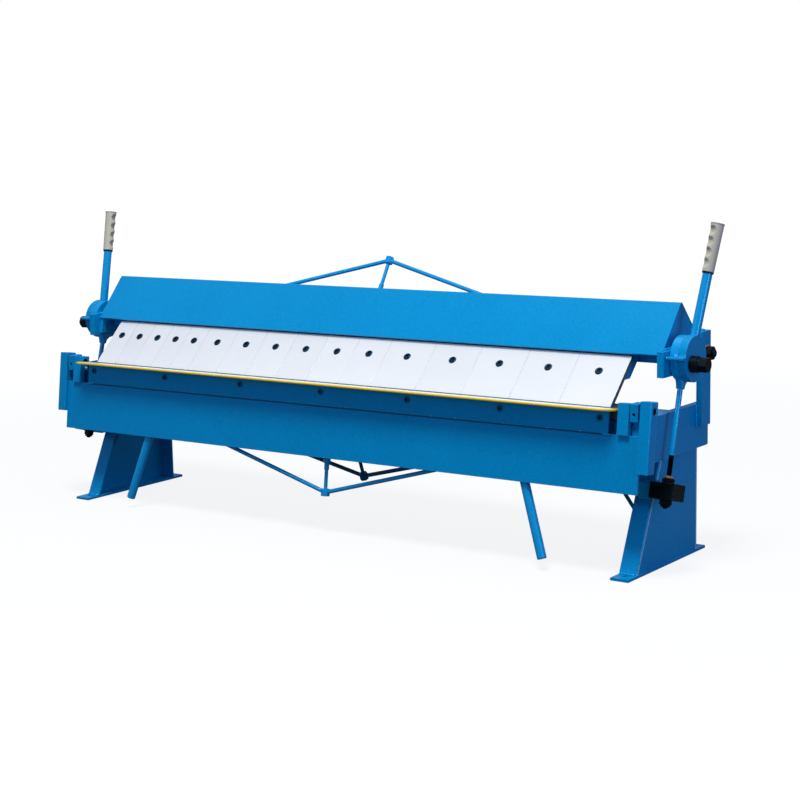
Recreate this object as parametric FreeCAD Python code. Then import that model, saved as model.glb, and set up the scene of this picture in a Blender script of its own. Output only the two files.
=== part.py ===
import FreeCAD, Part
import math
import os
from FreeCAD import Vector

# Sheet metal folding machine, millimetres.
# X runs along the machine, Y to the back, Z up.
# Pieces are drawn from the fold line: y = 0 and z = 0 on the bed's front top edge.
# On export they move so that the frame's origin is on the floor, midway between the foot bolts.

# Fingers of the clamp beam, in three sets from left to right
FINGER_COUNTS = (5, 6, 5)
FINGER_WIDTHS = (101.6, 152.4, 203.2)
FINGER_GAP = 0.4
FINGER_SLOPE = 45.0
FINGER_FACE = 221.0
FINGER_THICK = 17.0
FINGER_SETBACK = 15.5
FINGER_LIFT_GAP = 0.3

# Stand
BED_HEIGHT = 585.0
LEG_OUTER_X = 1316.0
LEG_WIDTH = 66.0
LEG_WALL = 8.0
LEG_FRONT_FOOT_Y = 20.0
LEG_FRONT_TOP_Y = 196.0
LEG_REAR_Y = 484.0
LEG_BEND_R = 8.0
LEG_TONGUE_TOP_Z = -60.0
FOOT_THICK = 10.0
FOOT_INNER_X = 1250.0
FOOT_OUTER_X = 1320.0
FOOT_FRONT_Y = -43.0
FOOT_REAR_Y = 541.0
FOOT_HOLE_R = 9.0
FOOT_HOLE_X = 1285.0
FOOT_HOLE_FRONT_Y = 0.0
FOOT_HOLE_REAR_Y = 506.0

# Bed
BEAM_FRONT_Y = 26.0
BEAM_DEPTH = 244.0
BEAM_TOP_Z = -36.0
BEAM_BOTTOM_Z = -196.0
BEAM_WALL = 10.0
BEAM_CORNER_R = 14.0
NOSE_END_X = 1262.0
NOSE_DEPTH = 96.0
NOSE_GAP = 0.5
NOSE_EDGE = 1.0
SIDE_PLATE_THICK = 25.0
SIDE_PLATE_REAR_Y = 514.0
SIDE_PLATE_CORNER_R = 6.0
STAY_SECTION = (12.0, 8.0)
STAY_RUN_X = 130.0
STAY_DROP_Z = 176.0

# Rear posts that carry the clamp beam
POST_THICK = 22.0
POST_FRONT_Y = 417.0
POST_DEPTH = 69.0
POST_BOTTOM_Z = -115.0
POST_TOP_Z = 222.0
POST_BEVEL = 4.0
REAR_PIVOT_Z = 143.0
REAR_PIVOT_R = 16.0
REAR_PIVOT_HEX = 46.0
REAR_PIVOT_NUT = 27.0
REAR_PIVOT_HEAD_HEX = 34.0
REAR_PIVOT_HEAD = 16.0

# Folding leaf, drawn hanging square below the fold line
LEAF_REST_LEAN = 7.3
LEAF_END_X = 1354.0
LEAF_THICK = 12.0
LEAF_BOTTOM_Z = -283.0
LEAF_SHOULDER_Z = -86.0
LEAF_BEND_GAP = 0.5
TOP_PLATE_END_GAP = 7.0
TOP_PLATE_FRONT_Y = -91.0
TOP_PLATE_THICK = 8.0
TOP_PLATE_CORNER_R = 52.0
FRONT_BAR_END_GAP = 38.0
FRONT_BAR_THICK = 8.0
FRONT_BAR_EDGE = 1.5

# Hinges at the ends of the bed
KNUCKLE_FRONT_Y = -26.0
CHEEK_INNER_X = 1271.0
CHEEK_OUTER_X = 1313.0
CHEEK_EYE = 22.0
HINGE_BAR_OUTER_X = 1396.0
HINGE_BAR_DEPTH = 50.0
HINGE_BAR_TOP_Z = 33.0
HINGE_BAR_BOTTOM_Z = -211.0
HINGE_BAR_EDGE = 2.5
BLOCK_OUTER_X = 1346.0
BLOCK_REAR_Y = 26.0
BLOCK_TOP_Z = 25.0
HINGE_PIN_R = 13.0
HINGE_PIN_SUNK = 2.0

# Handles of the leaf
HANDLE_R = 17.0
HANDLE_TOP = (850.0, -138.0)
HANDLE_FOOT = (988.0, -545.0)

# Truss rods that stiffen the three beams
TRUSS_ROD_R = 8.0
TRUSS_POST_R = 7.0
TRUSS_ANGLE = 15.2
TRUSS_LUG = (70.0, 26.0, 14.0)
TRUSS_PAD = (64.0, 36.0, 10.0)
TRUSS_PAD_SUNK = 7.0
TRUSS_KNOB = 30.0
TRUSS_KNOB_THICK = 28.0
LEAF_TRUSS_Y = 46.0
LEAF_TRUSS_LUG_Z = -250.0
LEAF_TRUSS_APEX_Z = -419.0
LEAF_BRACKET_WIDTH = 128.0
LEAF_BRACKET_THICK = 12.0
BED_TRUSS_Y = 163.0
BED_TRUSS_LEAN = 20.0
BED_TRUSS_DROP = 218.0
TOP_TRUSS_FOOT = (353.0, 289.2)
TOP_TRUSS_LEAN = 30.8
TOP_TRUSS_RISE = 163.4

# Clamp beam: a folded roof section with fingers under its front edge
CLAMP_END_X = 1338.0
CLAMP_WALL = 8.0
CLAMP_FRONT_FOOT = (159.0, 167.0)
CLAMP_RIDGE = (306.0, 338.0)
CLAMP_REAR_FOOT = (487.0, 150.0)
CLAMP_WEB_Y = 228.0
CLAMP_WEB_THICK = 12.0
CLAMP_WEB_BOTTOM_Z = 128.0
CLAMP_RIB_THICK = 8.0
CLAMP_RIB_BOTTOM_Z = 172.0
CLAMP_RIB_PITCH = 530.0
CLAMP_RIBS = 5
CLAMP_END_THICK = 14.0
CLAMP_END_FRONT_Y = 152.0
CLAMP_END_BOTTOM_Z = 102.0
SEAT_BAR_DEPTH = 26.0
SEAT_BAR_BOTTOM_Z = 80.0
SEAT_BAR_TOP_Z = 168.0
BEARING_THICK = 25.0
BEARING_FRONT_Y = 124.0
BEARING_REAR_Y = 292.0
BEARING_BOTTOM_Z = 94.0
BEARING_TOP_Z = 183.0

# Eccentric clamps: lever hubs, straps and links
HUB_CENTRE = (241.0, 151.0)
ECCENTRIC_OFFSET = (-32.0, -14.0)
HUB_R = 81.0
HUB_THICK = 27.0
CORE_R = 57.0
STRAP_R = 79.5
STRAP_THICK = 33.0
STRAP_SLACK = 2.0
STRAP_GAP = 1.0
ECCENTRIC_BOLT_R = 18.0
BOLT_COLLAR_R = 29.0
BOLT_COLLAR_LENGTH = 34.0
BOLT_HEX = 48.0
BOLT_HEX_LENGTH = 28.0
LEDGE_REACH = 27.0
LEDGE_THICK = 9.0
LEDGE_TOP_Z = 166.0
LEDGE_OVERHANG = 6.0
LEVER_R = 17.0
LEVER_LEAN = 15.1
LEVER_SPLAY = 5.1
LEVER_ROOT_INSET = 8.0
LEVER_START = 60.0
GRIP_START = 300.0
LEVER_END = 472.0
LEVER_TENON = 24.0
LEVER_TENON_LENGTH = 130.0
GRIP_FOOT_R = 21.0
GRIP_TOP_R = 23.5
GRIP_SIDES = 12
GRIP_GROOVES = 4
GRIP_GROOVE_R = 20.0
GRIP_GROOVE_DEPTH = 6.5

# Links between the straps and the stand
TRUNNION = (117.0, -293.0)
LINK_R = 9.5
LINK_NECK = (62.0, 36.0, 96.0, 10.0)
LINK_TAIL = 58.0
TRUNNION_BLOCK = (92.0, 85.0, 57.0)
TRUNNION_PIN_R = 11.0
TRUNNION_PIN_DEPTH = 26.0
TRUNNION_GAP = 0.6
LINK_NUT_HEX = 30.0
LINK_NUT_THICK = 16.0
BRACKET_SECTION = (54.0, 54.0)
BRACKET_INNER_X = 1286.0

# Clearances
RUNNING_FIT = 0.05
SEAT_GAP = 0.3

# Derived sizes
WORK_LENGTH = sum(count * width for count, width in zip(FINGER_COUNTS, FINGER_WIDTHS))
FRONT_BAR_END_X = CHEEK_INNER_X - FRONT_BAR_END_GAP
TOP_PLATE_END_X = CHEEK_INNER_X - TOP_PLATE_END_GAP
SIDE_PLATE_OUTER_X = LEG_OUTER_X + SIDE_PLATE_THICK
POST_OUTER_X = SIDE_PLATE_OUTER_X + POST_THICK
REAR_PIVOT_Y = POST_FRONT_Y + POST_DEPTH / 2
BEARING_OUTER_X = CLAMP_END_X + BEARING_THICK
STRAP_INNER_X = BEARING_OUTER_X + 2 * STRAP_GAP
STRAP_OUTER_X = STRAP_INNER_X + STRAP_THICK
HUB_INNER_X = STRAP_OUTER_X + STRAP_GAP
HUB_OUTER_X = HUB_INNER_X + HUB_THICK
LINK_X = STRAP_INNER_X + STRAP_THICK / 2
LEAF_BACK_Y = -LEAF_BEND_GAP
LEAF_FRONT_Y = LEAF_BACK_Y - LEAF_THICK
ECCENTRIC = (HUB_CENTRE[0] + ECCENTRIC_OFFSET[0], HUB_CENTRE[1] + ECCENTRIC_OFFSET[1])
FOOT_CENTRE_Y = (FOOT_HOLE_FRONT_Y + FOOT_HOLE_REAR_Y) / 2
EXPORT_SHIFT = Vector(0, -FOOT_CENTRE_Y, BED_HEIGHT)


# Shape helpers

def outline_face(corners, place):
    """A flat face through corners (a, b, radius), each rounded by its radius; place gives the 3-D point."""
    flat = [Vector(a, b, 0) for a, b, _ in corners]
    spans = []
    for index, (_, _, radius) in enumerate(corners):
        here = flat[index]
        back = (flat[index - 1] - here).normalize()
        ahead = (flat[(index + 1) % len(flat)] - here).normalize()
        half = back.getAngle(ahead) / 2
        inward = (back + ahead).normalize() if radius else Vector()
        reach = radius / math.tan(half)
        middle = here + inward * (radius / math.sin(half) - radius)
        spans.append((here + back * reach, middle, here + ahead * reach, radius))
    edges = []
    for index, (start, middle, end, radius) in enumerate(spans):
        if radius:
            edges.append(Part.Arc(place(start), place(middle), place(end)).toShape())
        following = spans[(index + 1) % len(spans)][0]
        if end.distanceToPoint(following) > 1e-6:
            edges.append(Part.LineSegment(place(end), place(following)).toShape())
    return Part.Face(Part.Wire(edges))


def sharp(points):
    """The outline of plain points, with no corner rounded."""
    return [(a, b, 0) for a, b in points]


def along_x(corners, x_from, x_to):
    """A prism between two x places, whose section is an outline in y and z."""
    face = outline_face(corners, lambda p: Vector(x_from, p.x, p.y))
    return face.extrude(Vector(x_to - x_from, 0, 0))


def along_y(corners, y_from, y_to):
    """A prism between two y places, whose section is an outline in x and z."""
    face = outline_face(corners, lambda p: Vector(p.x, y_from, p.y))
    return face.extrude(Vector(0, y_to - y_from, 0))


def along_z(corners, z_from, z_to):
    """A prism between two heights, whose section is an outline in x and y."""
    face = outline_face(corners, lambda p: Vector(p.x, p.y, z_from))
    return face.extrude(Vector(0, 0, z_to - z_from))


def rectangle(a_from, a_to, b_from, b_to, radius=0):
    """The four corners of a rectangle, rounded by one radius."""
    return [(a_from, b_from, radius), (a_to, b_from, radius), (a_to, b_to, radius), (a_from, b_to, radius)]


def round_bar(start, end, radius):
    """A cylinder from one point to another."""
    return Part.makeCylinder(radius, start.distanceToPoint(end), start, end - start)


def disc_x(centre, radius, x_from, x_to):
    """A disc square to X around a (y, z) centre."""
    return Part.makeCylinder(radius, x_to - x_from, Vector(x_from, *centre), Vector(1, 0, 0))


def flat_sided_bar(start, end, across_flats, sides=6):
    """A bar with flat sides from one point to another, hexagonal where nothing else is asked."""
    axis = (end - start).normalize()
    side = axis.cross(Vector(0, 0, 1)) if abs(axis.z) < 0.9 else axis.cross(Vector(1, 0, 0))
    side = side.normalize() * (across_flats / 2 / math.cos(math.pi / sides))
    turn = [FreeCAD.Rotation(axis, 360 / sides * k).multVec(side) for k in range(sides + 1)]
    return Part.Face(Part.makePolygon([start + corner for corner in turn])).extrude(end - start)


def mirrored(shape):
    """The same piece at the left end of the machine."""
    return shape.mirror(Vector(0, 0, 0), Vector(1, 0, 0))


def leaned(shape):
    """A piece of the leaf, turned from square to the lean that it rests at."""
    turned = shape.copy()
    turned.rotate(Vector(0, 0, 0), Vector(-1, 0, 0), LEAF_REST_LEAN)
    return turned


def edges_where(shape, test):
    """The edges whose middle passes a test."""
    return [edge for edge in shape.Edges if test(edge.CenterOfMass)]


def both_ends(name, right):
    """Two nodes, a piece at the right end and its mirror image at the left end."""
    return {name + "_right": right, name + "_left": mirrored(right)}


def group(shapes):
    """One node made of separate solids."""
    return Part.makeCompound([solid for shape in shapes for solid in shape.Solids])


def pair(right):
    """One node of two solids, a piece at the right end and its mirror image at the left end."""
    return group([right, mirrored(right)])


# Stand and bed

def leg_front_y(z):
    """The leg's leaning front edge at a height."""
    floor = -BED_HEIGHT + FOOT_THICK
    share = (z - floor) / (BEAM_BOTTOM_Z - floor)
    return LEG_FRONT_FOOT_Y + share * (LEG_FRONT_TOP_Y - LEG_FRONT_FOOT_Y)


def make_leg():
    """A folded channel: a tapering web outside, with flanges turned inwards, and a tongue behind the bed."""
    floor = -BED_HEIGHT + FOOT_THICK
    tongue_y = BEAM_FRONT_Y + BEAM_DEPTH + SEAT_GAP
    outline = sharp([(LEG_FRONT_FOOT_Y, floor), (LEG_REAR_Y, floor), (LEG_REAR_Y, LEG_TONGUE_TOP_Z),
                     (tongue_y, LEG_TONGUE_TOP_Z), (tongue_y, BEAM_BOTTOM_Z),
                     (LEG_FRONT_TOP_Y, BEAM_BOTTOM_Z)])
    channel = along_x(outline, LEG_OUTER_X - LEG_WIDTH, LEG_OUTER_X)
    lean = math.hypot(1, (LEG_FRONT_TOP_Y - LEG_FRONT_FOOT_Y) / (BEAM_BOTTOM_Z - floor))
    inner = sharp([(LEG_FRONT_FOOT_Y + LEG_WALL * lean, floor), (LEG_REAR_Y - LEG_WALL, floor),
                   (LEG_REAR_Y - LEG_WALL, LEG_TONGUE_TOP_Z), (tongue_y, LEG_TONGUE_TOP_Z),
                   (tongue_y, BEAM_BOTTOM_Z), (LEG_FRONT_TOP_Y + LEG_WALL * lean, BEAM_BOTTOM_Z)])
    channel = channel.cut(along_x(inner, LEG_OUTER_X - LEG_WIDTH, LEG_OUTER_X - LEG_WALL))
    middle_y = (LEG_FRONT_FOOT_Y + LEG_FRONT_TOP_Y) / 2
    bends = edges_where(channel, lambda c: abs(c.x - LEG_OUTER_X) < 0.1
                        and (abs(c.y - middle_y) < 1 or abs(c.y - LEG_REAR_Y) < 0.1))
    return channel.makeFillet(LEG_BEND_R, bends)


def make_foot_plate():
    """The plate under a leg, with a bolt hole at each end."""
    plate = along_z(rectangle(FOOT_INNER_X, FOOT_OUTER_X, FOOT_FRONT_Y, FOOT_REAR_Y),
                    -BED_HEIGHT, -BED_HEIGHT + FOOT_THICK)
    for y in (FOOT_HOLE_FRONT_Y, FOOT_HOLE_REAR_Y):
        foot = Vector(FOOT_HOLE_X, y, -BED_HEIGHT)
        plate = plate.cut(round_bar(foot, foot + Vector(0, 0, FOOT_THICK), FOOT_HOLE_R))
    return plate


def make_bed_beam():
    """The bed's box section beam."""
    rear_y = BEAM_FRONT_Y + BEAM_DEPTH
    outer = rectangle(BEAM_FRONT_Y, rear_y, BEAM_BOTTOM_Z, BEAM_TOP_Z, BEAM_CORNER_R)
    inner = rectangle(BEAM_FRONT_Y + BEAM_WALL, rear_y - BEAM_WALL,
                      BEAM_BOTTOM_Z + BEAM_WALL, BEAM_TOP_Z - BEAM_WALL)
    beam = along_x(outer, -LEG_OUTER_X, LEG_OUTER_X)
    return beam.cut(along_x(inner, -LEG_OUTER_X, LEG_OUTER_X))


def make_nose_bar():
    """The hard bar along the bed's front, with a fine bevel on the fold edge."""
    bar = along_x(rectangle(NOSE_GAP, NOSE_GAP + NOSE_DEPTH, BEAM_TOP_Z, 0), -NOSE_END_X, NOSE_END_X)
    edge = edges_where(bar, lambda c: abs(c.y - NOSE_GAP) < 0.1 and abs(c.z) < 0.1)
    return bar.makeChamfer(NOSE_EDGE, edge)


def leaf_back_y(z):
    """Where the back of the resting leaf stands at a height, a seat's gap behind it."""
    lean = math.radians(LEAF_REST_LEAN)
    return (LEAF_BACK_Y + SEAT_GAP + z * math.sin(lean)) / math.cos(lean)


def make_side_plate():
    """The thick plate on the bed's end. Its leaning front edge is the stop that the leaf rests on."""
    outline = [(leaf_back_y(BEAM_TOP_Z), BEAM_TOP_Z, 0), (SIDE_PLATE_REAR_Y, BEAM_TOP_Z, SIDE_PLATE_CORNER_R),
               (SIDE_PLATE_REAR_Y, BEAM_BOTTOM_Z, SIDE_PLATE_CORNER_R),
               (leaf_back_y(BEAM_BOTTOM_Z), BEAM_BOTTOM_Z, 0)]
    return along_x(outline, LEG_OUTER_X, SIDE_PLATE_OUTER_X)


def make_post():
    """The upright bar on the side plate that carries the clamp beam's rear pivot."""
    rear_y = POST_FRONT_Y + POST_DEPTH
    outline = rectangle(POST_FRONT_Y, rear_y, POST_BOTTOM_Z, POST_TOP_Z)
    post = along_x(outline, SIDE_PLATE_OUTER_X, POST_OUTER_X)
    top = edges_where(post, lambda c: abs(c.z - POST_TOP_Z) < 0.1 and c.x > SIDE_PLATE_OUTER_X + POST_BEVEL)
    post = post.makeChamfer(POST_BEVEL / 2, top)
    bore = disc_x((REAR_PIVOT_Y, REAR_PIVOT_Z), REAR_PIVOT_R, SIDE_PLATE_OUTER_X, POST_OUTER_X)
    return post.cut(bore)


def make_rear_pivot_bolt():
    """The bolt through the post and the clamp beam's end, with its head inside and its nut outside."""
    pivot = (REAR_PIVOT_Y, REAR_PIVOT_Z)
    head_x = CLAMP_END_X - CLAMP_END_THICK - SEAT_GAP
    nut_x = POST_OUTER_X + REAR_PIVOT_NUT
    shank = disc_x(pivot, REAR_PIVOT_R - RUNNING_FIT, head_x, nut_x)
    head_end = Vector(head_x - REAR_PIVOT_HEAD, *pivot)
    head = flat_sided_bar(head_end, Vector(head_x, *pivot), REAR_PIVOT_HEAD_HEX)
    nut = flat_sided_bar(Vector(POST_OUTER_X, *pivot), Vector(nut_x, *pivot), REAR_PIVOT_HEX)
    return shank.fuse([head, nut]).removeSplitter()


def make_corner_stay():
    """The flat bar that braces the bed's underside against the leg's front flange."""
    deep, thick = STAY_SECTION
    top_x = LEG_OUTER_X - LEG_WIDTH - STAY_RUN_X
    low_z = BEAM_BOTTOM_Z - STAY_DROP_Z
    slope = math.atan2(STAY_DROP_Z, STAY_RUN_X)
    across = deep / math.sin(slope)
    rise = deep / math.cos(slope)
    y = leg_front_y(low_z + rise / 2)
    right_x = LEG_OUTER_X - LEG_WIDTH
    outline = sharp([(top_x, BEAM_BOTTOM_Z), (top_x + across, BEAM_BOTTOM_Z),
                     (right_x, low_z + rise), (right_x, low_z)])
    return along_y(outline, y, y + thick)


def make_hinge_block():
    """The fixed knuckle of a hinge, standing on the side plate."""
    outline = rectangle(KNUCKLE_FRONT_Y, BLOCK_REAR_Y, BEAM_TOP_Z, BLOCK_TOP_Z)
    block = along_x(outline, LEG_OUTER_X, BLOCK_OUTER_X)
    return block.cut(disc_x((0, 0), HINGE_PIN_R, LEG_OUTER_X, BLOCK_OUTER_X))


def make_trunnion_bracket():
    """The block on the leg's front flange, with the pin that the trunnion block turns on."""
    deep, high = BRACKET_SECTION
    y, z = TRUNNION
    low, top = z - high / 2, z + high / 2
    outer_x = LINK_X - TRUNNION_BLOCK[0] / 2 - TRUNNION_GAP
    front_y = y - deep / 2
    outline = sharp([(front_y, low), (leg_front_y(low), low), (leg_front_y(top), top), (front_y, top)])
    block = along_x(outline, BRACKET_INNER_X, outer_x)
    pin = disc_x(TRUNNION, TRUNNION_PIN_R, outer_x, outer_x + TRUNNION_GAP + TRUNNION_PIN_DEPTH)
    return block.fuse(pin)


# Trusses

def truss_knob(foot, out, rise):
    """The knob at a truss's apex, which its two rods end on."""
    apex = Vector(0, *foot) + out * rise
    half = out * (TRUSS_KNOB_THICK / 2)
    return flat_sided_bar(apex - half, apex + half, TRUSS_KNOB)


def truss_rod(foot, out, rise):
    """The right rod of a truss with its lug. The truss stands on a (y, z) foot and points along out."""
    wide, thick, high = TRUSS_LUG
    base = Vector(0, *foot)
    apex = base + out * rise
    reach = (rise - high) / math.tan(math.radians(TRUSS_ANGLE))
    end = base + Vector(reach, 0, 0) + out * high
    rod = round_bar(end, apex, TRUSS_ROD_R)
    lug = standing_block(base + Vector(reach, 0, 0), out, wide, thick, high + TRUSS_ROD_R)
    return rod.fuse(lug).removeSplitter().cut(truss_knob(foot, out, rise))


def standing_block(foot, out, wide, thick, high):
    """A block that stands on a foot point along out, sunk a little so that its beam can trim it flush."""
    side = out.cross(Vector(1, 0, 0)) * (thick / 2)
    half = Vector(wide / 2, 0, 0)
    low = foot - out * TRUSS_PAD_SUNK
    ring = [low - half - side, low + half - side, low + half + side, low - half + side, low - half - side]
    return Part.Face(Part.makePolygon(ring)).extrude(out * (TRUSS_PAD_SUNK + high))


def truss_post(foot, out, rise, pad):
    """The post of a truss, with its pad on the beam and the knob at the apex."""
    base = Vector(0, *foot)
    post = round_bar(base, base + out * rise, TRUSS_POST_R)
    return post.fuse([pad, truss_knob(foot, out, rise)]).removeSplitter()


def make_top_truss():
    """The truss on the back of the clamp beam's roof: its right rod and its post."""
    lean = math.radians(TOP_TRUSS_LEAN)
    out = Vector(0, math.sin(lean), math.cos(lean))
    roof = along_x(sharp([CLAMP_FRONT_FOOT, CLAMP_RIDGE, CLAMP_REAR_FOOT]), -CLAMP_END_X, CLAMP_END_X)
    wide, thick, high = TRUSS_PAD
    pad = standing_block(Vector(0, *TOP_TRUSS_FOOT), out, wide, thick, high)
    post = truss_post(TOP_TRUSS_FOOT, out, TOP_TRUSS_RISE, pad)
    return truss_rod(TOP_TRUSS_FOOT, out, TOP_TRUSS_RISE).cut(roof), post.cut(roof)


def make_bed_truss():
    """The truss under the bed: its right rod and its post."""
    lean = math.radians(BED_TRUSS_LEAN)
    out = Vector(0, math.sin(lean), -math.cos(lean))
    foot = (BED_TRUSS_Y, BEAM_BOTTOM_Z)
    beam = along_x(rectangle(BEAM_FRONT_Y, BEAM_FRONT_Y + BEAM_DEPTH, BEAM_BOTTOM_Z, BEAM_TOP_Z),
                   -LEG_OUTER_X, LEG_OUTER_X)
    wide, thick, high = TRUSS_PAD
    pad = standing_block(Vector(0, *foot), out, wide, thick, high)
    post = truss_post(foot, out, BED_TRUSS_DROP, pad)
    return truss_rod(foot, out, BED_TRUSS_DROP).cut(beam), post.cut(beam)


def make_leaf_truss():
    """The truss behind the leaf's lower edge: its right rod, and its post with the bracket."""
    out = Vector(0, 0, -1)
    wide, thick, high = TRUSS_LUG
    foot = (LEAF_TRUSS_Y, LEAF_TRUSS_LUG_Z)
    rise = LEAF_TRUSS_LUG_Z - LEAF_TRUSS_APEX_Z
    rod = truss_rod(foot, out, rise)
    reach = (rise - high) / math.tan(math.radians(TRUSS_ANGLE))
    arm = Part.makeBox(wide, LEAF_TRUSS_Y - LEAF_BACK_Y, TRUSS_PAD_SUNK + high + TRUSS_ROD_R,
                       Vector(reach - wide / 2, LEAF_BACK_Y, LEAF_TRUSS_LUG_Z - high - TRUSS_ROD_R))
    rod = rod.fuse(arm).removeSplitter()
    half = LEAF_BRACKET_WIDTH / 2
    rear_y = LEAF_TRUSS_Y + thick / 2
    ring = sharp([(-half, LEAF_BACK_Y), (half, LEAF_BACK_Y), (half, LEAF_TRUSS_Y),
                  (half / 2, rear_y), (-half / 2, rear_y), (-half, LEAF_TRUSS_Y)])
    bracket = along_z(ring, LEAF_BOTTOM_Z, LEAF_BOTTOM_Z + LEAF_BRACKET_THICK)
    post = truss_post((LEAF_TRUSS_Y, LEAF_BOTTOM_Z), out, LEAF_BOTTOM_Z - LEAF_TRUSS_APEX_Z, bracket)
    return leaned(rod), leaned(post)


# Folding leaf

def make_leaf_panel():
    """The leaf's face plate, as wide as the hinge bars stand apart."""
    outline = rectangle(-LEAF_END_X, LEAF_END_X, LEAF_BOTTOM_Z, LEAF_SHOULDER_Z)
    return along_y(outline, LEAF_FRONT_Y, LEAF_BACK_Y)


def make_leaf_front_bar():
    """The bar above the face plate, in front of the top plate's flange."""
    flange_front = LEAF_BACK_Y - TOP_PLATE_THICK
    bar = along_y(rectangle(-FRONT_BAR_END_X, FRONT_BAR_END_X, LEAF_SHOULDER_Z, -TOP_PLATE_THICK),
                  flange_front - FRONT_BAR_THICK, flange_front)
    front = flange_front - FRONT_BAR_THICK
    low = edges_where(bar, lambda c: c.y < front + 0.1 and c.z < LEAF_SHOULDER_Z + 0.1)
    return bar.makeChamfer(FRONT_BAR_EDGE, low)


def make_leaf_top_plate():
    """The leaf's bending plate, with rounded front corners and a flange behind the front bar."""
    corner = TOP_PLATE_CORNER_R
    end = TOP_PLATE_END_X
    plate = along_z([(-end, LEAF_BACK_Y, 0), (-end, TOP_PLATE_FRONT_Y, corner),
                     (end, TOP_PLATE_FRONT_Y, corner), (end, LEAF_BACK_Y, 0)], -TOP_PLATE_THICK, 0)
    flange = along_y(rectangle(-FRONT_BAR_END_X, FRONT_BAR_END_X, LEAF_SHOULDER_Z, -TOP_PLATE_THICK),
                     LEAF_BACK_Y - TOP_PLATE_THICK, LEAF_BACK_Y)
    return plate.fuse(flange).removeSplitter()


def make_hinge_cheek():
    """The inner hinge block on the leaf's shoulder, which reaches back round the pin."""
    outline = sharp([(KNUCKLE_FRONT_Y, LEAF_SHOULDER_Z), (LEAF_BACK_Y, LEAF_SHOULDER_Z),
                     (LEAF_BACK_Y, -CHEEK_EYE), (CHEEK_EYE, -CHEEK_EYE), (CHEEK_EYE, CHEEK_EYE),
                     (KNUCKLE_FRONT_Y, CHEEK_EYE)])
    bore = disc_x((0, 0), HINGE_PIN_R, CHEEK_INNER_X, CHEEK_OUTER_X)
    return along_x(outline, CHEEK_INNER_X, CHEEK_OUTER_X).cut(bore)


def make_hinge_bar():
    """The heavy bar on the leaf's end, with the pin's outer bore."""
    outline = rectangle(KNUCKLE_FRONT_Y, KNUCKLE_FRONT_Y + HINGE_BAR_DEPTH,
                        HINGE_BAR_BOTTOM_Z, HINGE_BAR_TOP_Z)
    bar = along_x(outline, LEAF_END_X, HINGE_BAR_OUTER_X)
    bar = bar.makeChamfer(HINGE_BAR_EDGE, edges_where(bar, lambda c: c.x > HINGE_BAR_OUTER_X - 0.1))
    return bar.cut(disc_x((0, 0), HINGE_PIN_R, LEAF_END_X, HINGE_BAR_OUTER_X))


def make_hinge_pin():
    """The pin that is fast in the cheek and the hinge bar and turns in the hinge block."""
    return disc_x((0, 0), HINGE_PIN_R - RUNNING_FIT, CHEEK_INNER_X, HINGE_BAR_OUTER_X - HINGE_PIN_SUNK)


def make_leaf_handle():
    """The round handle behind the leaf, splayed outwards as it goes down."""
    y = LEAF_BACK_Y + HANDLE_R
    foot = Vector(HANDLE_FOOT[0], y, HANDLE_FOOT[1])
    return round_bar(Vector(HANDLE_TOP[0], y, HANDLE_TOP[1]), foot, HANDLE_R)


# Clamp beam

def inset_roof():
    """The inner corners of the clamp beam's roof section: front foot, ridge and rear foot."""
    foot, ridge, rear = (Vector(*point, 0) for point in (CLAMP_FRONT_FOOT, CLAMP_RIDGE, CLAMP_REAR_FOOT))
    up = (ridge - foot).normalize()
    down = (rear - ridge).normalize()
    front_in = Vector(up.y, -up.x, 0)
    rear_in = Vector(down.y, -down.x, 0)
    ridge_in = (front_in + rear_in) * (CLAMP_WALL / (1 + front_in.dot(rear_in)))
    inner = foot + front_in * CLAMP_WALL, ridge + ridge_in, rear + rear_in * CLAMP_WALL
    return [(point.x, point.y) for point in inner]


def line_at(start, end, y):
    """The height of the straight line between two (y, z) points, at y."""
    return start[1] + (y - start[0]) * (end[1] - start[1]) / (end[0] - start[0])


def make_clamp_front_plate():
    """The roof's front slope, from its lower edge to the ridge."""
    foot_in, ridge_in, _ = inset_roof()
    return along_x(sharp([CLAMP_FRONT_FOOT, foot_in, ridge_in, CLAMP_RIDGE]), -CLAMP_END_X, CLAMP_END_X)


def make_clamp_rear_plate():
    """The roof's rear slope, from the ridge down to the back."""
    _, ridge_in, rear_in = inset_roof()
    return along_x(sharp([CLAMP_RIDGE, ridge_in, rear_in, CLAMP_REAR_FOOT]), -CLAMP_END_X, CLAMP_END_X)


def make_clamp_web():
    """The upright plate inside the roof that carries the seat bar."""
    foot_in, ridge_in, _ = inset_roof()
    rear_y = CLAMP_WEB_Y + CLAMP_WEB_THICK
    outline = sharp([(CLAMP_WEB_Y, CLAMP_WEB_BOTTOM_Z), (rear_y, CLAMP_WEB_BOTTOM_Z),
                     (rear_y, line_at(foot_in, ridge_in, rear_y)),
                     (CLAMP_WEB_Y, line_at(foot_in, ridge_in, CLAMP_WEB_Y))])
    end_x = CLAMP_END_X - CLAMP_END_THICK
    return along_x(outline, -end_x, end_x)


def make_clamp_ribs():
    """The triangular ribs between the web and the two slopes."""
    foot_in, ridge_in, rear_in = inset_roof()
    front_y = CLAMP_WEB_Y + CLAMP_WEB_THICK
    share = (ridge_in[1] - CLAMP_RIB_BOTTOM_Z) / (ridge_in[1] - rear_in[1])
    rear_y = ridge_in[0] + share * (rear_in[0] - ridge_in[0])
    outline = sharp([(front_y, CLAMP_RIB_BOTTOM_Z), (rear_y, CLAMP_RIB_BOTTOM_Z), ridge_in,
                     (front_y, line_at(foot_in, ridge_in, front_y))])
    ribs = []
    for index in range(CLAMP_RIBS):
        x = (index - (CLAMP_RIBS - 1) / 2) * CLAMP_RIB_PITCH - CLAMP_RIB_THICK / 2
        ribs.append(along_x(outline, x, x + CLAMP_RIB_THICK))
    return ribs


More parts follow.
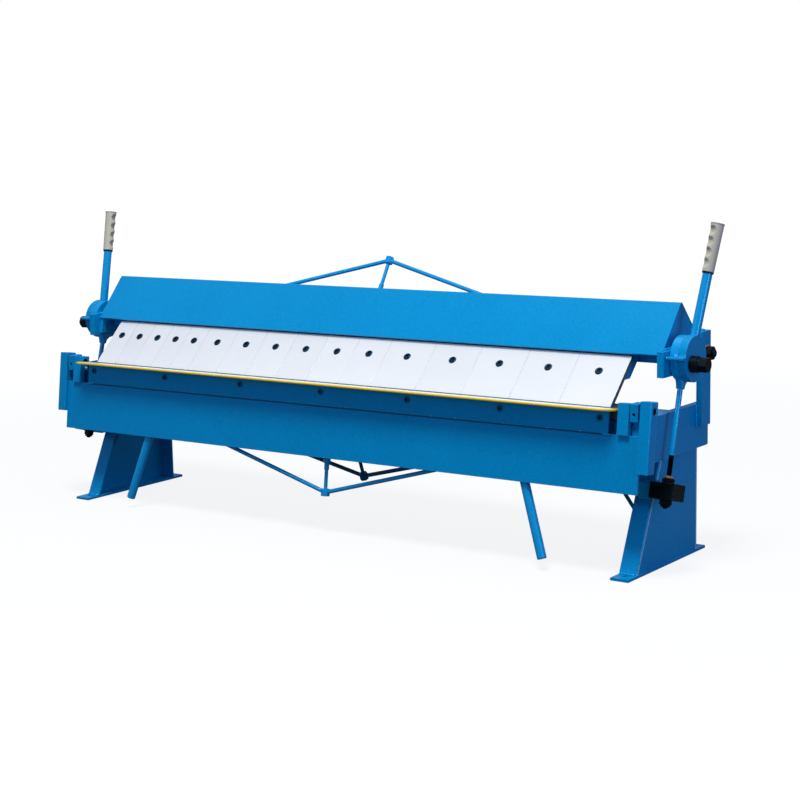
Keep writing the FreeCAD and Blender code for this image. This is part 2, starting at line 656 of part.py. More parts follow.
def make_clamp_end():
    """The plate that closes the clamp beam's end, bored for the rear pivot."""
    foot_in, ridge_in, rear_in = inset_roof()
    inner_x = CLAMP_END_X - CLAMP_END_THICK
    outline = sharp([foot_in, ridge_in, rear_in, (rear_in[0], CLAMP_END_BOTTOM_Z),
                     (CLAMP_END_FRONT_Y, CLAMP_END_BOTTOM_Z)])
    plate = along_x(outline, inner_x, CLAMP_END_X)
    return plate.cut(disc_x((REAR_PIVOT_Y, REAR_PIVOT_Z), REAR_PIVOT_R, inner_x, CLAMP_END_X))


def make_bearing_block():
    """The block on the clamp beam's end that holds the eccentric bolt."""
    block = along_x(rectangle(BEARING_FRONT_Y, BEARING_REAR_Y, BEARING_BOTTOM_Z, BEARING_TOP_Z),
                    CLAMP_END_X, BEARING_OUTER_X)
    return block.cut(disc_x(ECCENTRIC, ECCENTRIC_BOLT_R + RUNNING_FIT, CLAMP_END_X, BEARING_OUTER_X))


def slope_point(along, deep):
    """The (y, z) point at a distance up the fingers' face and at a depth into them."""
    angle = math.radians(FINGER_SLOPE)
    return (FINGER_SETBACK + along * math.cos(angle) + deep * math.sin(angle),
            along * math.sin(angle) - deep * math.cos(angle))


def finger_places():
    """The left edge and width of each finger, from left to right."""
    places = []
    x = -WORK_LENGTH / 2
    for count, width in zip(FINGER_COUNTS, FINGER_WIDTHS):
        for _ in range(count):
            places.append((x, width))
            x += width
    return places


def make_fingers():
    """The fingers side by side, each a sloping plate cut level where it meets the bed."""
    angle = math.radians(FINGER_SLOPE)
    toe = FINGER_THICK / math.sin(angle)
    top_front = slope_point(FINGER_FACE, 0)
    top_back = slope_point(FINGER_FACE, FINGER_THICK)
    lift = FINGER_LIFT_GAP
    tip_y = FINGER_SETBACK + lift / math.tan(angle)
    outline = sharp([(tip_y, lift), (tip_y + toe, lift), top_back, top_front])
    fingers = []
    for x, width in finger_places():
        fingers.append(along_x(outline, x + FINGER_GAP / 2, x + width - FINGER_GAP / 2))
    return fingers


def make_seat_bar():
    """The bar behind the fingers that their screws go into, from its level foot up to the web."""
    front = slope_point(0, FINGER_THICK)
    back = slope_point(0, FINGER_THICK + SEAT_BAR_DEPTH)
    rise = math.tan(math.radians(FINGER_SLOPE))
    outline = [(front[0] + (SEAT_BAR_BOTTOM_Z - front[1]) / rise, SEAT_BAR_BOTTOM_Z),
               (back[0] + (SEAT_BAR_BOTTOM_Z - back[1]) / rise, SEAT_BAR_BOTTOM_Z),
               (CLAMP_WEB_Y, back[1] + (CLAMP_WEB_Y - back[0]) * rise),
               (CLAMP_WEB_Y, SEAT_BAR_TOP_Z),
               (front[0] + (SEAT_BAR_TOP_Z - front[1]) / rise, SEAT_BAR_TOP_Z)]
    return along_x(sharp(outline), -WORK_LENGTH / 2, WORK_LENGTH / 2)


def make_eccentric_bolt():
    """The bolt that the lever's eccentric turns on, with a collar and a hexagon outside the hub."""
    collar_x = HUB_OUTER_X + STRAP_GAP
    hex_x = collar_x + BOLT_COLLAR_LENGTH
    shank = disc_x(ECCENTRIC, ECCENTRIC_BOLT_R, CLAMP_END_X, hex_x)
    collar = disc_x(ECCENTRIC, BOLT_COLLAR_R, collar_x, hex_x)
    head = flat_sided_bar(Vector(hex_x, *ECCENTRIC), Vector(hex_x + BOLT_HEX_LENGTH, *ECCENTRIC), BOLT_HEX)
    return shank.fuse([collar, head]).removeSplitter()


# Levers

def lever_point(distance):
    """A point on the right lever's axis, at a distance from the hub's centre."""
    lean = math.tan(math.radians(LEVER_LEAN))
    splay = math.tan(math.radians(LEVER_SPLAY))
    direction = Vector(splay, lean, 1).normalize()
    root = Vector((HUB_INNER_X + HUB_OUTER_X) / 2 - LEVER_ROOT_INSET, *HUB_CENTRE)
    return root + direction * distance


def make_lever_hub():
    """The lever's disc with the eccentric core beside it, and the ledge welded on the disc's front."""
    disc = disc_x(HUB_CENTRE, HUB_R, HUB_INNER_X, HUB_OUTER_X)
    core = disc_x(HUB_CENTRE, CORE_R, STRAP_INNER_X, HUB_INNER_X)
    bore = disc_x(ECCENTRIC, ECCENTRIC_BOLT_R + RUNNING_FIT, STRAP_INNER_X, HUB_OUTER_X)
    rim_y = HUB_CENTRE[0] - HUB_R
    ledge = along_x(rectangle(rim_y - LEDGE_REACH, HUB_CENTRE[0], LEDGE_TOP_Z - LEDGE_THICK, LEDGE_TOP_Z),
                    STRAP_INNER_X, HUB_OUTER_X + LEDGE_OVERHANG)
    ledge = ledge.cut(disc_x(HUB_CENTRE, HUB_R, STRAP_INNER_X, HUB_OUTER_X + LEDGE_OVERHANG))
    ledge = ledge.Solids[0]
    return disc.fuse([core, ledge]).removeSplitter().cut(bore)


def make_lever():
    """The lever's round bar, saddled on the hub's rim and turned down where the grip is pushed on."""
    bar = round_bar(lever_point(LEVER_START), lever_point(GRIP_START), LEVER_R)
    tenon = flat_sided_bar(lever_point(GRIP_START), lever_point(GRIP_START + LEVER_TENON_LENGTH), LEVER_TENON)
    saddle = disc_x(HUB_CENTRE, HUB_R, HUB_INNER_X - 2 * LEVER_R, HUB_OUTER_X + 2 * LEVER_R)
    return bar.fuse(tenon).removeSplitter().cut(saddle)


def grip_ring(radius, z):
    """The many-sided outline of the grip at a height along it."""
    turns = [2 * math.pi * k / GRIP_SIDES for k in range(GRIP_SIDES + 1)]
    return Part.makePolygon([Vector(radius * math.sin(turn), radius * math.cos(turn), z) for turn in turns])


def make_grip():
    """The moulded grip, wider at its top, with finger grooves on the front."""
    length = LEVER_END - GRIP_START
    grip = Part.makeLoft([grip_ring(GRIP_FOOT_R, 0), grip_ring(GRIP_TOP_R, length)], True, True)
    pitch = (length - GRIP_GROOVE_R) / GRIP_GROOVES
    for index in range(GRIP_GROOVES):
        z = GRIP_GROOVE_R / 2 + (index + 0.5) * pitch
        surface = GRIP_FOOT_R + (GRIP_TOP_R - GRIP_FOOT_R) * z / length
        corner = Vector(-GRIP_TOP_R, GRIP_GROOVE_DEPTH - surface - GRIP_GROOVE_R, z)
        across = corner + Vector(2 * GRIP_TOP_R, 0, 0)
        grip = grip.cut(flat_sided_bar(corner, across, 2 * GRIP_GROOVE_R, GRIP_SIDES))
    axis = lever_point(LEVER_END) - lever_point(GRIP_START)
    grip.Placement = FreeCAD.Placement(lever_point(GRIP_START), FreeCAD.Rotation(Vector(0, 0, 1), axis))
    tenon_end = lever_point(GRIP_START + LEVER_TENON_LENGTH)
    return grip.cut(flat_sided_bar(lever_point(GRIP_START), tenon_end, LEVER_TENON))


# Links

def link_point(distance, x=LINK_X):
    """A point on the link's axis, at a distance from the strap's centre towards the trunnion."""
    centre = Vector(x, *HUB_CENTRE)
    return centre + (Vector(x, *TRUNNION) - centre).normalize() * distance


def trunnion_distance():
    """The distance from the strap's centre to the trunnion's axis."""
    return math.dist(HUB_CENTRE, TRUNNION)


def make_link():
    """The strap round the eccentric core, and its rod with the nuts above and below the trunnion block."""
    near, near_half, far, far_half = LINK_NECK
    down = (link_point(1) - link_point(0)).normalize()
    side = down.cross(Vector(1, 0, 0))
    corners = [link_point(near) + side * near_half, link_point(near) - side * near_half,
               link_point(far) - side * far_half, link_point(far) + side * far_half]
    neck = along_x(sharp([(c.y, c.z) for c in corners]), STRAP_INNER_X, STRAP_OUTER_X)
    strap = disc_x(HUB_CENTRE, STRAP_R, STRAP_INNER_X, STRAP_OUTER_X)
    middle = trunnion_distance()
    rod = round_bar(link_point(near), link_point(middle + LINK_TAIL), LINK_R)
    nuts = []
    for way in (-1, 1):
        seat = middle + way * TRUNNION_BLOCK[2] / 2
        nuts.append(flat_sided_bar(link_point(seat), link_point(seat + way * LINK_NUT_THICK), LINK_NUT_HEX))
    bore = disc_x(HUB_CENTRE, CORE_R + STRAP_SLACK, STRAP_INNER_X, STRAP_OUTER_X)
    return strap.fuse([neck, rod] + nuts).removeSplitter().cut(bore)


def make_trunnion_block():
    """The block that the link's rod passes through, bored for the pin of its bracket."""
    wide, deep, high = TRUNNION_BLOCK
    down = (link_point(1) - link_point(0)).normalize()
    middle = link_point(trunnion_distance())
    block = Part.makeBox(wide, deep, high, Vector(-wide / 2, -deep / 2, -high / 2))
    block.Placement = FreeCAD.Placement(middle, FreeCAD.Rotation(Vector(0, 0, -1), down))
    rod = round_bar(middle - down * high, middle + down * high, LINK_R + RUNNING_FIT)
    inner_x = LINK_X - wide / 2
    bore_end = inner_x + TRUNNION_PIN_DEPTH + TRUNNION_GAP
    bore = disc_x(TRUNNION, TRUNNION_PIN_R + RUNNING_FIT, inner_x, bore_end)
    return block.cut([rod, bore])


# Assembly

def build():
    """Every node of the machine, by name."""
    nodes = {}
    nodes.update(both_ends("leg", make_leg()))
    nodes.update(both_ends("foot_plate", make_foot_plate()))
    nodes.update(both_ends("side_plate", make_side_plate()))
    nodes.update(both_ends("post", make_post()))
    nodes["hinge_blocks"] = pair(make_hinge_block())
    nodes["trunnion_brackets"] = pair(make_trunnion_bracket())
    nodes["bed_beam"] = make_bed_beam()
    nodes["bed_nose_bar"] = make_nose_bar()
    nodes["corner_stays"] = pair(make_corner_stay())
    nodes["rear_pivot_bolts"] = pair(make_rear_pivot_bolt())
    rod, nodes["bed_truss_post"] = make_bed_truss()
    nodes.update(both_ends("bed_truss_rod", rod))

    nodes["leaf_panel"] = leaned(make_leaf_panel())
    nodes["leaf_front_bar"] = leaned(make_leaf_front_bar())
    nodes["leaf_top_plate"] = leaned(make_leaf_top_plate())
    nodes["hinge_cheeks"] = pair(leaned(make_hinge_cheek()))
    nodes["hinge_bars"] = pair(leaned(make_hinge_bar()))
    nodes.update(both_ends("leaf_handle", leaned(make_leaf_handle())))
    nodes["hinge_pins"] = pair(make_hinge_pin())
    rod, nodes["leaf_truss_post"] = make_leaf_truss()
    nodes.update(both_ends("leaf_truss_rod", rod))

    nodes["clamp_front_plate"] = make_clamp_front_plate()
    nodes["clamp_rear_plate"] = make_clamp_rear_plate()
    nodes["clamp_web"] = make_clamp_web()
    nodes["clamp_ribs"] = group(make_clamp_ribs())
    nodes.update(both_ends("clamp_end", make_clamp_end()))
    nodes["bearing_blocks"] = pair(make_bearing_block())
    nodes["finger_seat_bar"] = make_seat_bar()
    nodes["fingers"] = group(make_fingers())
    nodes["eccentric_bolts"] = pair(make_eccentric_bolt())
    rod, nodes["clamp_truss_post"] = make_top_truss()
    nodes.update(both_ends("clamp_truss_rod", rod))

    nodes.update(both_ends("lever_hub", make_lever_hub()))
    nodes.update(both_ends("lever", make_lever()))
    nodes.update(both_ends("lever_grip", make_grip()))
    nodes.update(both_ends("link", make_link()))
    nodes.update(both_ends("trunnion_block", make_trunnion_block()))
    return nodes


def export(nodes):
    """Writes each node to its own file, moved to the frame's origin."""
    os.makedirs("parts", exist_ok=True)
    for name, shape in nodes.items():
        placed = shape.copy()
        placed.translate(EXPORT_SHIFT)
        placed.exportStep(os.path.join("parts", name + ".step"))


export(build())
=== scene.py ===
from math import cos, pi, radians, sin, tan

import bmesh
import bpy
from mathutils import Matrix, Vector


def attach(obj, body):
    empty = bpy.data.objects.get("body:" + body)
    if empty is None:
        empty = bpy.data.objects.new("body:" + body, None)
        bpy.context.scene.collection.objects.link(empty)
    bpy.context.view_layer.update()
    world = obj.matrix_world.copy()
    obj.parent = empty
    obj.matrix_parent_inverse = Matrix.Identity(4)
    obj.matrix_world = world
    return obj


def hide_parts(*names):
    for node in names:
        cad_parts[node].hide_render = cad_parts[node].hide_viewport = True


bl_info = {
    "name": "Sheet metal folding machine",
    "version": (1, 0, 0),
    "blender": (4, 5, 0),
    "location": "View3D > Sidebar > Folding machine",
    "description": "Dresses the packed folding machine with painted, ground and blackened pieces",
    "category": "Object",
}

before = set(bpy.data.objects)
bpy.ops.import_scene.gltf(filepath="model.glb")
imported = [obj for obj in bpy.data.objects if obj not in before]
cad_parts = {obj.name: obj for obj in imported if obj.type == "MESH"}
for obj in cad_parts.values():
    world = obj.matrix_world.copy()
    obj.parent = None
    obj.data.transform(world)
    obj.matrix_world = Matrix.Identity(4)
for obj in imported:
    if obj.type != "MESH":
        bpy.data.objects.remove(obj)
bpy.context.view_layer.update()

ENDS = (("right", 1), ("left", -1))
FOLD_LINE = Vector((0, -0.253, 0.585))
REST_LEAN = radians(7.3)
MERGE_WITHIN = 2e-5
FLAT_WITHIN = radians(0.8)
CRISP_ABOVE = radians(30)
SMOOTH_BELOW = radians(20)
RIPPLES_SMOOTH_BELOW = radians(32)


# Colour and place helpers

def srgb(red, green, blue):
    """A linear colour from the 0 to 255 values that a colour picker shows."""
    values = [channel / 255 for channel in (red, green, blue)]
    return tuple(v / 12.92 if v <= 0.04045 else ((v + 0.055) / 1.055) ** 2.4 for v in values)


def times(colour, factor):
    """A colour made lighter or darker by a factor."""
    return tuple(channel * factor for channel in colour)


def at(x, y, z):
    """A point in metres from millimetres counted from the middle of the fold line."""
    return FOLD_LINE + Vector((x, y, z)) / 1000


def leaf_at(x, y, z):
    """A point of the leaf, drawn square below the fold line and leaned to where the leaf rests."""
    turn = Matrix.Rotation(-REST_LEAN, 3, "X")
    return FOLD_LINE + turn @ (Vector((x, y, z)) / 1000)


# Settings that a user would change

class FoldingSizes(bpy.types.PropertyGroup):
    """Sizes of the details that the dressed machine adds to its solids."""

    edge: bpy.props.FloatProperty(
        name="Edge rounding", description="How far the edges of bars and plates are rounded",
        default=0.0012, min=0.0002, max=0.004, unit="LENGTH")
    ridge_radius: bpy.props.FloatProperty(
        name="Ridge radius", description="Outer radius of the fold along the clamp beam's ridge",
        default=0.009, min=0.009, max=0.03, unit="LENGTH")
    finger_edge: bpy.props.FloatProperty(
        name="Finger edge", description="Rounding along the edges of the ground fingers",
        default=0.0006, min=0.0001, max=0.003, unit="LENGTH")
    bead_radius: bpy.props.FloatProperty(
        name="Weld bead radius", description="Half the width of a weld bead",
        default=0.0042, min=0.002, max=0.008, unit="LENGTH")
    thread_pitch: bpy.props.FloatProperty(
        name="Thread pitch", description="Distance from one thread to the next on the link studs",
        default=0.0025, min=0.001, max=0.004, unit="LENGTH")
    stripe: bpy.props.FloatProperty(
        name="Yellow stripe", description="How far the yellow paint reaches onto the bending plate",
        default=0.01, min=0.0, max=0.05, unit="LENGTH")


class FoldingColours(bpy.types.PropertyGroup):
    """Base colours of the machine's finishes."""

    enamel: bpy.props.FloatVectorProperty(
        name="Enamel", description="Blue machine enamel", subtype="COLOR", size=3,
        default=srgb(0, 148, 204), min=0, max=1)
    stripe: bpy.props.FloatVectorProperty(
        name="Stripe", description="Yellow warning paint on the bending plate's edge", subtype="COLOR",
        size=3, default=srgb(255, 214, 10), min=0, max=1)
    ground: bpy.props.FloatVectorProperty(
        name="Ground steel", description="Ground faces of the fingers and the bending plate",
        subtype="COLOR", size=3, default=srgb(255, 255, 247), min=0, max=1)
    black: bpy.props.FloatVectorProperty(
        name="Blackened steel", description="Blackened bolts, nuts and blocks", subtype="COLOR",
        size=3, default=srgb(8, 20, 20), min=0, max=1)
    brass: bpy.props.FloatVectorProperty(
        name="Brass", description="Brass washers and nuts", subtype="COLOR", size=3,
        default=srgb(214, 150, 96), min=0, max=1)
    grip: bpy.props.FloatVectorProperty(
        name="Grip", description="Moulded lever grips", subtype="COLOR", size=3,
        default=srgb(216, 208, 180), min=0, max=1)


# Mesh helpers

def place_object(name, data):
    """An object in the scene, at the origin, for a mesh, curve, lamp or camera."""
    made = bpy.data.objects.new(name, data)
    bpy.context.collection.objects.link(made)
    return made


def smooth(mesh, below=SMOOTH_BELOW):
    """Shades a mesh smooth across the edges that are shallower than an angle."""
    mesh.shade_smooth()
    mesh.set_sharp_from_angle(angle=below)


def new_piece(name, bm):
    """An object at the origin from a finished bmesh, smooth across its shallow edges."""
    mesh = bpy.data.meshes.new(name)
    bm.to_mesh(mesh)
    bm.free()
    smooth(mesh)
    return place_object(name, mesh)


def hand_over(piece, body, finish, *nodes):
    """Gives a piece its finish and body, and hides the CAD nodes that it stands for."""
    piece.data.materials.clear()
    piece.data.materials.append(bpy.data.materials[finish])
    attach(piece, body)
    if nodes:
        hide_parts(*nodes)


def complete(name, bm, body, finish, *nodes):
    """Hands over a new piece made of a finished bmesh."""
    hand_over(new_piece(name, bm), body, finish, *nodes)


def round_edges(bm, width, segments=2, edges=None):
    """Rounds the given edges, or else all crisp ones, and marks the new faces as edges."""
    layer = bm.faces.layers.float.get("edge") or bm.faces.layers.float.new("edge")
    crisp = [e for e in bm.edges if len(e.link_faces) == 2 and e.calc_face_angle(0) > CRISP_ABOVE]
    made = bmesh.ops.bevel(bm, geom=crisp if edges is None else edges, offset=width, segments=segments,
                           profile=0.5, affect="EDGES", clamp_overlap=edges is None)
    for face in made["faces"]:
        face[layer] = 1.0


def merged_copy(node):
    """A bmesh of a CAD node's solids, with its loose triangles merged into whole faces."""
    bm = bmesh.new()
    bm.from_mesh(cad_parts[node].data)
    bmesh.ops.remove_doubles(bm, verts=bm.verts, dist=MERGE_WITHIN)
    bmesh.ops.dissolve_limit(bm, angle_limit=FLAT_WITHIN, verts=bm.verts, edges=bm.edges)
    return bm


def dress(node, body, width, finish="Blue enamel"):
    """Hands over a piece that follows a CAD node, with its edges rounded."""
    bm = merged_copy(node)
    round_edges(bm, width)
    complete(node + "_dressed", bm, body, finish, node)


def prism(outline, half):
    """A bmesh prism that reaches half its length to each side of an outline of points."""
    bm = bmesh.new()
    low, shift = Vector((-half, 0, 0)), Vector((half * 2, 0, 0))
    face = bm.faces.new([bm.verts.new(point + low) for point in outline])
    grown = bmesh.ops.extrude_face_region(bm, geom=[face])
    bmesh.ops.translate(bm, vec=shift, verts=[v for v in grown["geom"] if isinstance(v, bmesh.types.BMVert)])
    bmesh.ops.recalc_face_normals(bm, faces=bm.faces)
    return bm


def hexagon_reach(angle, across_flats):
    """How far a hexagon reaches from its middle at an angle."""
    return across_flats / 2 / cos((angle + pi / 6) % (pi / 3) - pi / 6)


def turned(rings, start, direction, segments=48, shape=None, side=None, hollow=False, onto=None):
    """A turned form, closed at its ends or, if hollow, from its last ring back to its first.

    Each ring is (radius, distance) or (radius, distance, across flats). A form given as onto grows by it."""
    bm = bmesh.new() if onto is None else onto
    axis = direction.normalized()
    if side is None:
        side = Vector((0, 0, 1)) if abs(axis.x) > 0.9 else axis.orthogonal()
    across = axis.cross(side).normalized()
    side = across.cross(axis)
    loops = []
    for ring in rings:
        loop = []
        for k in range(segments):
            angle = 2 * pi * k / segments
            reach = ring[0] if len(ring) < 3 else min(ring[0], hexagon_reach(angle, ring[2]))
            if shape:
                reach = shape(reach, angle, ring[1])
            out = side * cos(angle) + across * sin(angle)
            loop.append(bm.verts.new(start + axis * ring[1] + out * reach))
        loops.append(loop)
    following_loops = loops[1:] + loops[:1] if hollow else loops[1:]
    for low, high in zip(loops, following_loops):
        for k in range(segments):
            following = (k + 1) % segments
            bm.faces.new((low[k], low[following], high[following], high[k]))
    if not hollow:
        bm.faces.new(list(reversed(loops[0])))
        bm.faces.new(loops[-1])
    bmesh.ops.recalc_face_normals(bm, faces=bm.faces)
    return bm


def plain_mesh(piece):
    """A plain mesh of what an object and its modifiers make."""
    bpy.context.view_layer.update()
    return bpy.data.meshes.new_from_object(piece.evaluated_get(bpy.context.evaluated_depsgraph_get()))


def bored(bm, mouth, outward, radius, depth, shank):
    """The bmesh with a counterbored hole cut into it, its mouth rounded."""
    body = new_piece("bored_body", bm)
    rounding, beyond, through = 0.0005, 0.01, 0.05
    rim = radius + rounding
    rings = [(shank, -through), (shank, -depth), (radius, -depth), (radius, -rounding), (rim, 0.0001),
             (rim, beyond)]
    drill = new_piece("bored_tool", turned(rings, mouth, outward))
    cut = body.modifiers.new("Bore", "BOOLEAN")
    cut.object = drill
    cut.solver = "EXACT"
    result = bmesh.new()
    result.from_mesh(plain_mesh(body))
    for piece in (body, drill):
        bpy.data.objects.remove(piece)
    return result


def hex_rings(across_flats, low, high, chamfer=0.0015):
    """Rings of a nut or bolt head between two distances, with turned chamfers at both ends."""
    corner = across_flats / 2 / cos(pi / 6)
    flat = across_flats / 2 * 0.96
    return [(flat, low), (flat + chamfer, low + chamfer * 0.5, across_flats),
            (corner, low + chamfer * 1.4, across_flats), (corner, high - chamfer * 1.4, across_flats),
            (flat + chamfer, high - chamfer * 0.5, across_flats), (flat, high)]


def socket_rings(radius, height, socket, depth, shank, length):
    """Rings of a socket screw, from its shank's tip round its head to the floor of its socket."""
    edge = radius * 0.1
    corner = socket / 2 / cos(pi / 6)
    return [(shank, -length), (shank, 0), (radius, 0), (radius, height - edge),
            (radius - edge * 0.3, height - edge * 0.3), (radius - edge, height), (corner * 1.06, height),
            (corner, height - edge * 0.3, socket), (corner, height - depth, socket),
            (corner * 0.3, height - depth * 1.12)]


def grip_reach(reach, angle, along):
    """The grip's outline, a little flattened at the sides, with four finger grooves across one side."""
    reach *= 1 - 0.07 * sin(angle) ** 2
    first, pitch, groove, depth, face = 0.029, 0.038, 0.02, 0.0095, 0.0225
    from_middle = min(abs(along - first - k * pitch) for k in range(4))
    if from_middle < groove:
        flat = face - depth + groove - (groove ** 2 - from_middle ** 2) ** 0.5
        if reach * cos(angle) > flat:
            reach = flat / cos(angle)
    return reach


# Node helpers

def feed(tree, node, values):
    """Fills a node's inputs, by name or number, with plain values or with links from nodes or sockets."""
    for key, value in values.items():
        for item in value if isinstance(value, list) else [value]:
            if isinstance(item, bpy.types.Node):
                item = item.outputs[0]
            if isinstance(item, bpy.types.NodeSocket):
                tree.links.new(item, node.inputs[key])
            else:
                node.inputs[key].default_value = item


def add(tree, kind, values=None, **settings):
    """A node with its settings and the values of its inputs."""
    node = tree.nodes.new(kind)
    for key, value in settings.items():
        setattr(node, key, value)
    feed(tree, node, values or {})
    return node


def calc(tree, operation, *values):
    """The result of a Math node."""
    return add(tree, "ShaderNodeMath", dict(enumerate(values)), operation=operation).outputs[0]


def new_tree(name, kind, inputs, outputs):
    """A node tree with named sockets, the sockets that it is given, and its output node."""
    tree = bpy.data.node_groups.new(name, kind)
    for way, sockets in (("INPUT", inputs), ("OUTPUT", outputs)):
        for socket, socket_kind, *value in sockets:
            item = tree.interface.new_socket(name=socket, in_out=way, socket_type="NodeSocket" + socket_kind)
            if value:
                item.default_value = value[0]
    return tree, tree.nodes.new("NodeGroupInput").outputs, tree.nodes.new("NodeGroupOutput")


# Geometry node trees

def end_tree(tree, given, result, geometry):
    """Ends a tree with copies made real and the finish set."""
    real = add(tree, "GeometryNodeRealizeInstances", {"Geometry": geometry})
    painted = add(tree, "GeometryNodeSetMaterial", {"Geometry": real, "Material": given["Finish"]})
    feed(tree, result, {0: painted})


def row_tree():
    """Copies of the piece at even steps along a line, each marked with a shade of its own."""
    tree, given, result = new_tree("Row of copies", "GeometryNodeTree", (
        ("Piece", "Geometry"), ("Count", "Int", 2), ("Seed", "Int", 4), ("Start", "Vector"),
        ("Step", "Vector"), ("Finish", "Material")), (("Row", "Geometry"),))
    line = add(tree, "GeometryNodeMeshLine", {
        "Count": given["Count"], "Start Location": given["Start"], "Offset": given["Step"]}, mode="OFFSET")
    copies = add(tree, "GeometryNodeInstanceOnPoints", {"Points": line, "Instance": given["Piece"]})
    chance = add(tree, "FunctionNodeRandomValue", {"Seed": given["Seed"]}, data_type="FLOAT")
    marked = add(tree, "GeometryNodeStoreNamedAttribute", {
        "Geometry": copies, "Name": "shade", "Value": chance.outputs[1]},
        data_type="FLOAT", domain="INSTANCE")
    end_tree(tree, given, result, marked)


def folded_sheet_tree():
    """A folded sheet: the outline curve rounded at its corners, filled and drawn out along the machine."""
    tree, given, result = new_tree("Folded sheet", "GeometryNodeTree", (
        ("Outline", "Geometry"), ("Length", "Float", 1.0), ("Fold radius", "Float", 0.01),
        ("Fold steps", "Int", 6), ("Finish", "Material")), (("Sheet", "Geometry"),))
    share = add(tree, "GeometryNodeInputNamedAttribute", {"Name": "fold"}, data_type="FLOAT")
    radius = calc(tree, "MULTIPLY", given["Fold radius"], share)
    curve = add(tree, "GeometryNodeMeshToCurve", {"Mesh": given["Outline"]})
    rounded = add(tree, "GeometryNodeFilletCurve", {
        "Curve": curve, "Radius": radius, "Count": given["Fold steps"]}, mode="POLY")
    fill = add(tree, "GeometryNodeFillCurve", {"Curve": rounded})
    up = add(tree, "ShaderNodeCombineXYZ", {"Z": given["Length"]})
    drawn = add(tree, "GeometryNodeExtrudeMesh", {"Mesh": fill, "Offset": up, "Individual": False})
    flipped = add(tree, "GeometryNodeFlipFaces", {"Mesh": fill})
    both = add(tree, "GeometryNodeJoinGeometry", {"Geometry": [drawn, flipped]})
    welded = add(tree, "GeometryNodeMergeByDistance", {"Geometry": both})
    back = add(tree, "ShaderNodeCombineXYZ", {"X": calc(tree, "MULTIPLY", given["Length"], -0.5)})
    laid = add(tree, "GeometryNodeTransform", {
        "Geometry": welded, "Translation": back, "Rotation": (pi / 2, 0, pi / 2)})
    end_tree(tree, given, result, laid)


def bead_tree():
    """A weld bead: overlapping ripples laid along the path, each a little different."""
    tree, given, result = new_tree("Weld bead", "GeometryNodeTree", (
        ("Path", "Geometry"), ("Radius", "Float", 0.004), ("Seed", "Int", 3), ("Finish", "Material")),
        (("Bead", "Geometry"),))
    steps = add(tree, "GeometryNodeCurveToPoints", {
        "Curve": given["Path"], "Length": calc(tree, "MULTIPLY", given["Radius"], 0.62)}, mode="LENGTH")
    ripple = add(tree, "GeometryNodeMeshIcoSphere", {"Radius": given["Radius"], "Subdivisions": 2})
    size = add(tree, "FunctionNodeRandomValue", {
        "Min": (0.84, 0.84, 0.62), "Max": (1.08, 1.08, 0.95), "Seed": given["Seed"]},
        data_type="FLOAT_VECTOR")
    laid = add(tree, "GeometryNodeInstanceOnPoints", {
        "Points": steps, "Instance": ripple, "Rotation": steps.outputs["Rotation"], "Scale": size})
    end_tree(tree, given, result, laid)


def run_tree(piece, tree_name, finish, below=SMOOTH_BELOW, **values):
    """Runs a tree on an object and returns a plain mesh object in its place."""
    tree = bpy.data.node_groups[tree_name]
    modifier = piece.modifiers.new(tree_name, "NODES")
    modifier.node_group = tree
    named = {item.name.replace(" ", "_").lower(): item.identifier
             for item in tree.interface.items_tree if item.in_out == "INPUT"}
    modifier[named["finish"]] = bpy.data.materials[finish]
    for key, value in values.items():
        modifier[named[key]] = value
    mesh = plain_mesh(piece)
    piece.modifiers.remove(modifier)
    name = piece.name
    bpy.data.objects.remove(piece)
    smooth(mesh, below)
    return place_object(name, mesh)


def row(name, bm, count, start, step, finish):
    """A row of copies of a bmesh piece drawn at the origin."""
    return run_tree(new_piece(name, bm), "Row of copies", finish, count=count, seed=count, start=start,
                    step=step)


def joined(name, pieces):
    """One piece from several, with their meshes laid together."""
    bm = bmesh.new()
    for piece in pieces:
        bm.from_mesh(piece.data)
        bpy.data.objects.remove(piece)
    return new_piece(name, bm)


def weld(name, body, paths, place=at):
    """Painted weld beads along straight paths of (x, y, z) points, at both ends of the machine."""
    curve = bpy.data.curves.new(name, "CURVE")
    curve.dimensions = "3D"
    for _, way in ENDS:
        for path in paths:
            spline = curve.splines.new("POLY")
            spline.points.add(len(path) - 1)
            for point, (x, y, z) in zip(spline.points, path):
                point.co = (*place(way * x, y, z), 1)
    # The beads take the lighter bar enamel, which is painted light.
    piece = run_tree(place_object(name, curve), "Weld bead", "Lit bar enamel", RIPPLES_SMOOTH_BELOW,
                     seed=len(name), radius=bpy.context.scene.folding_sizes.bead_radius)
    hand_over(piece, body, "Lit bar enamel")


# Shader node groups

def own_place(tree):
    """The place on the piece itself."""
    return add(tree, "ShaderNodeTexCoord").outputs["Object"]


def noise(tree, scale, detail, roughness=0.5, place=None):
    """A noise texture, laid out on the piece itself unless it is given another place."""
    vector = own_place(tree) if place is None else place
    return add(tree, "ShaderNodeTexNoise", {
        "Vector": vector, "Scale": scale, "Detail": detail, "Roughness": roughness}).outputs["Fac"]


def facing(tree):
    """The x, y and z parts of the way that a face looks."""
    surface = add(tree, "ShaderNodeNewGeometry")
    return add(tree, "ShaderNodeSeparateXYZ", {"Vector": surface.outputs["Normal"]}).outputs


def orange_peel_group():
    """The fine waviness of sprayed enamel, as a normal."""
    tree, given, result = new_tree("Orange peel", "ShaderNodeTree", (
        ("Scale", "Float", 260.0), ("Strength", "Float", 0.2)), (("Normal", "Vector"),))
    height = noise(tree, given["Scale"], detail=2.0, roughness=0.45)
    bump = add(tree, "ShaderNodeBump", {"Distance": 0.0006, "Height": height, "Strength": given["Strength"]})
    feed(tree, result, {"Normal": bump})


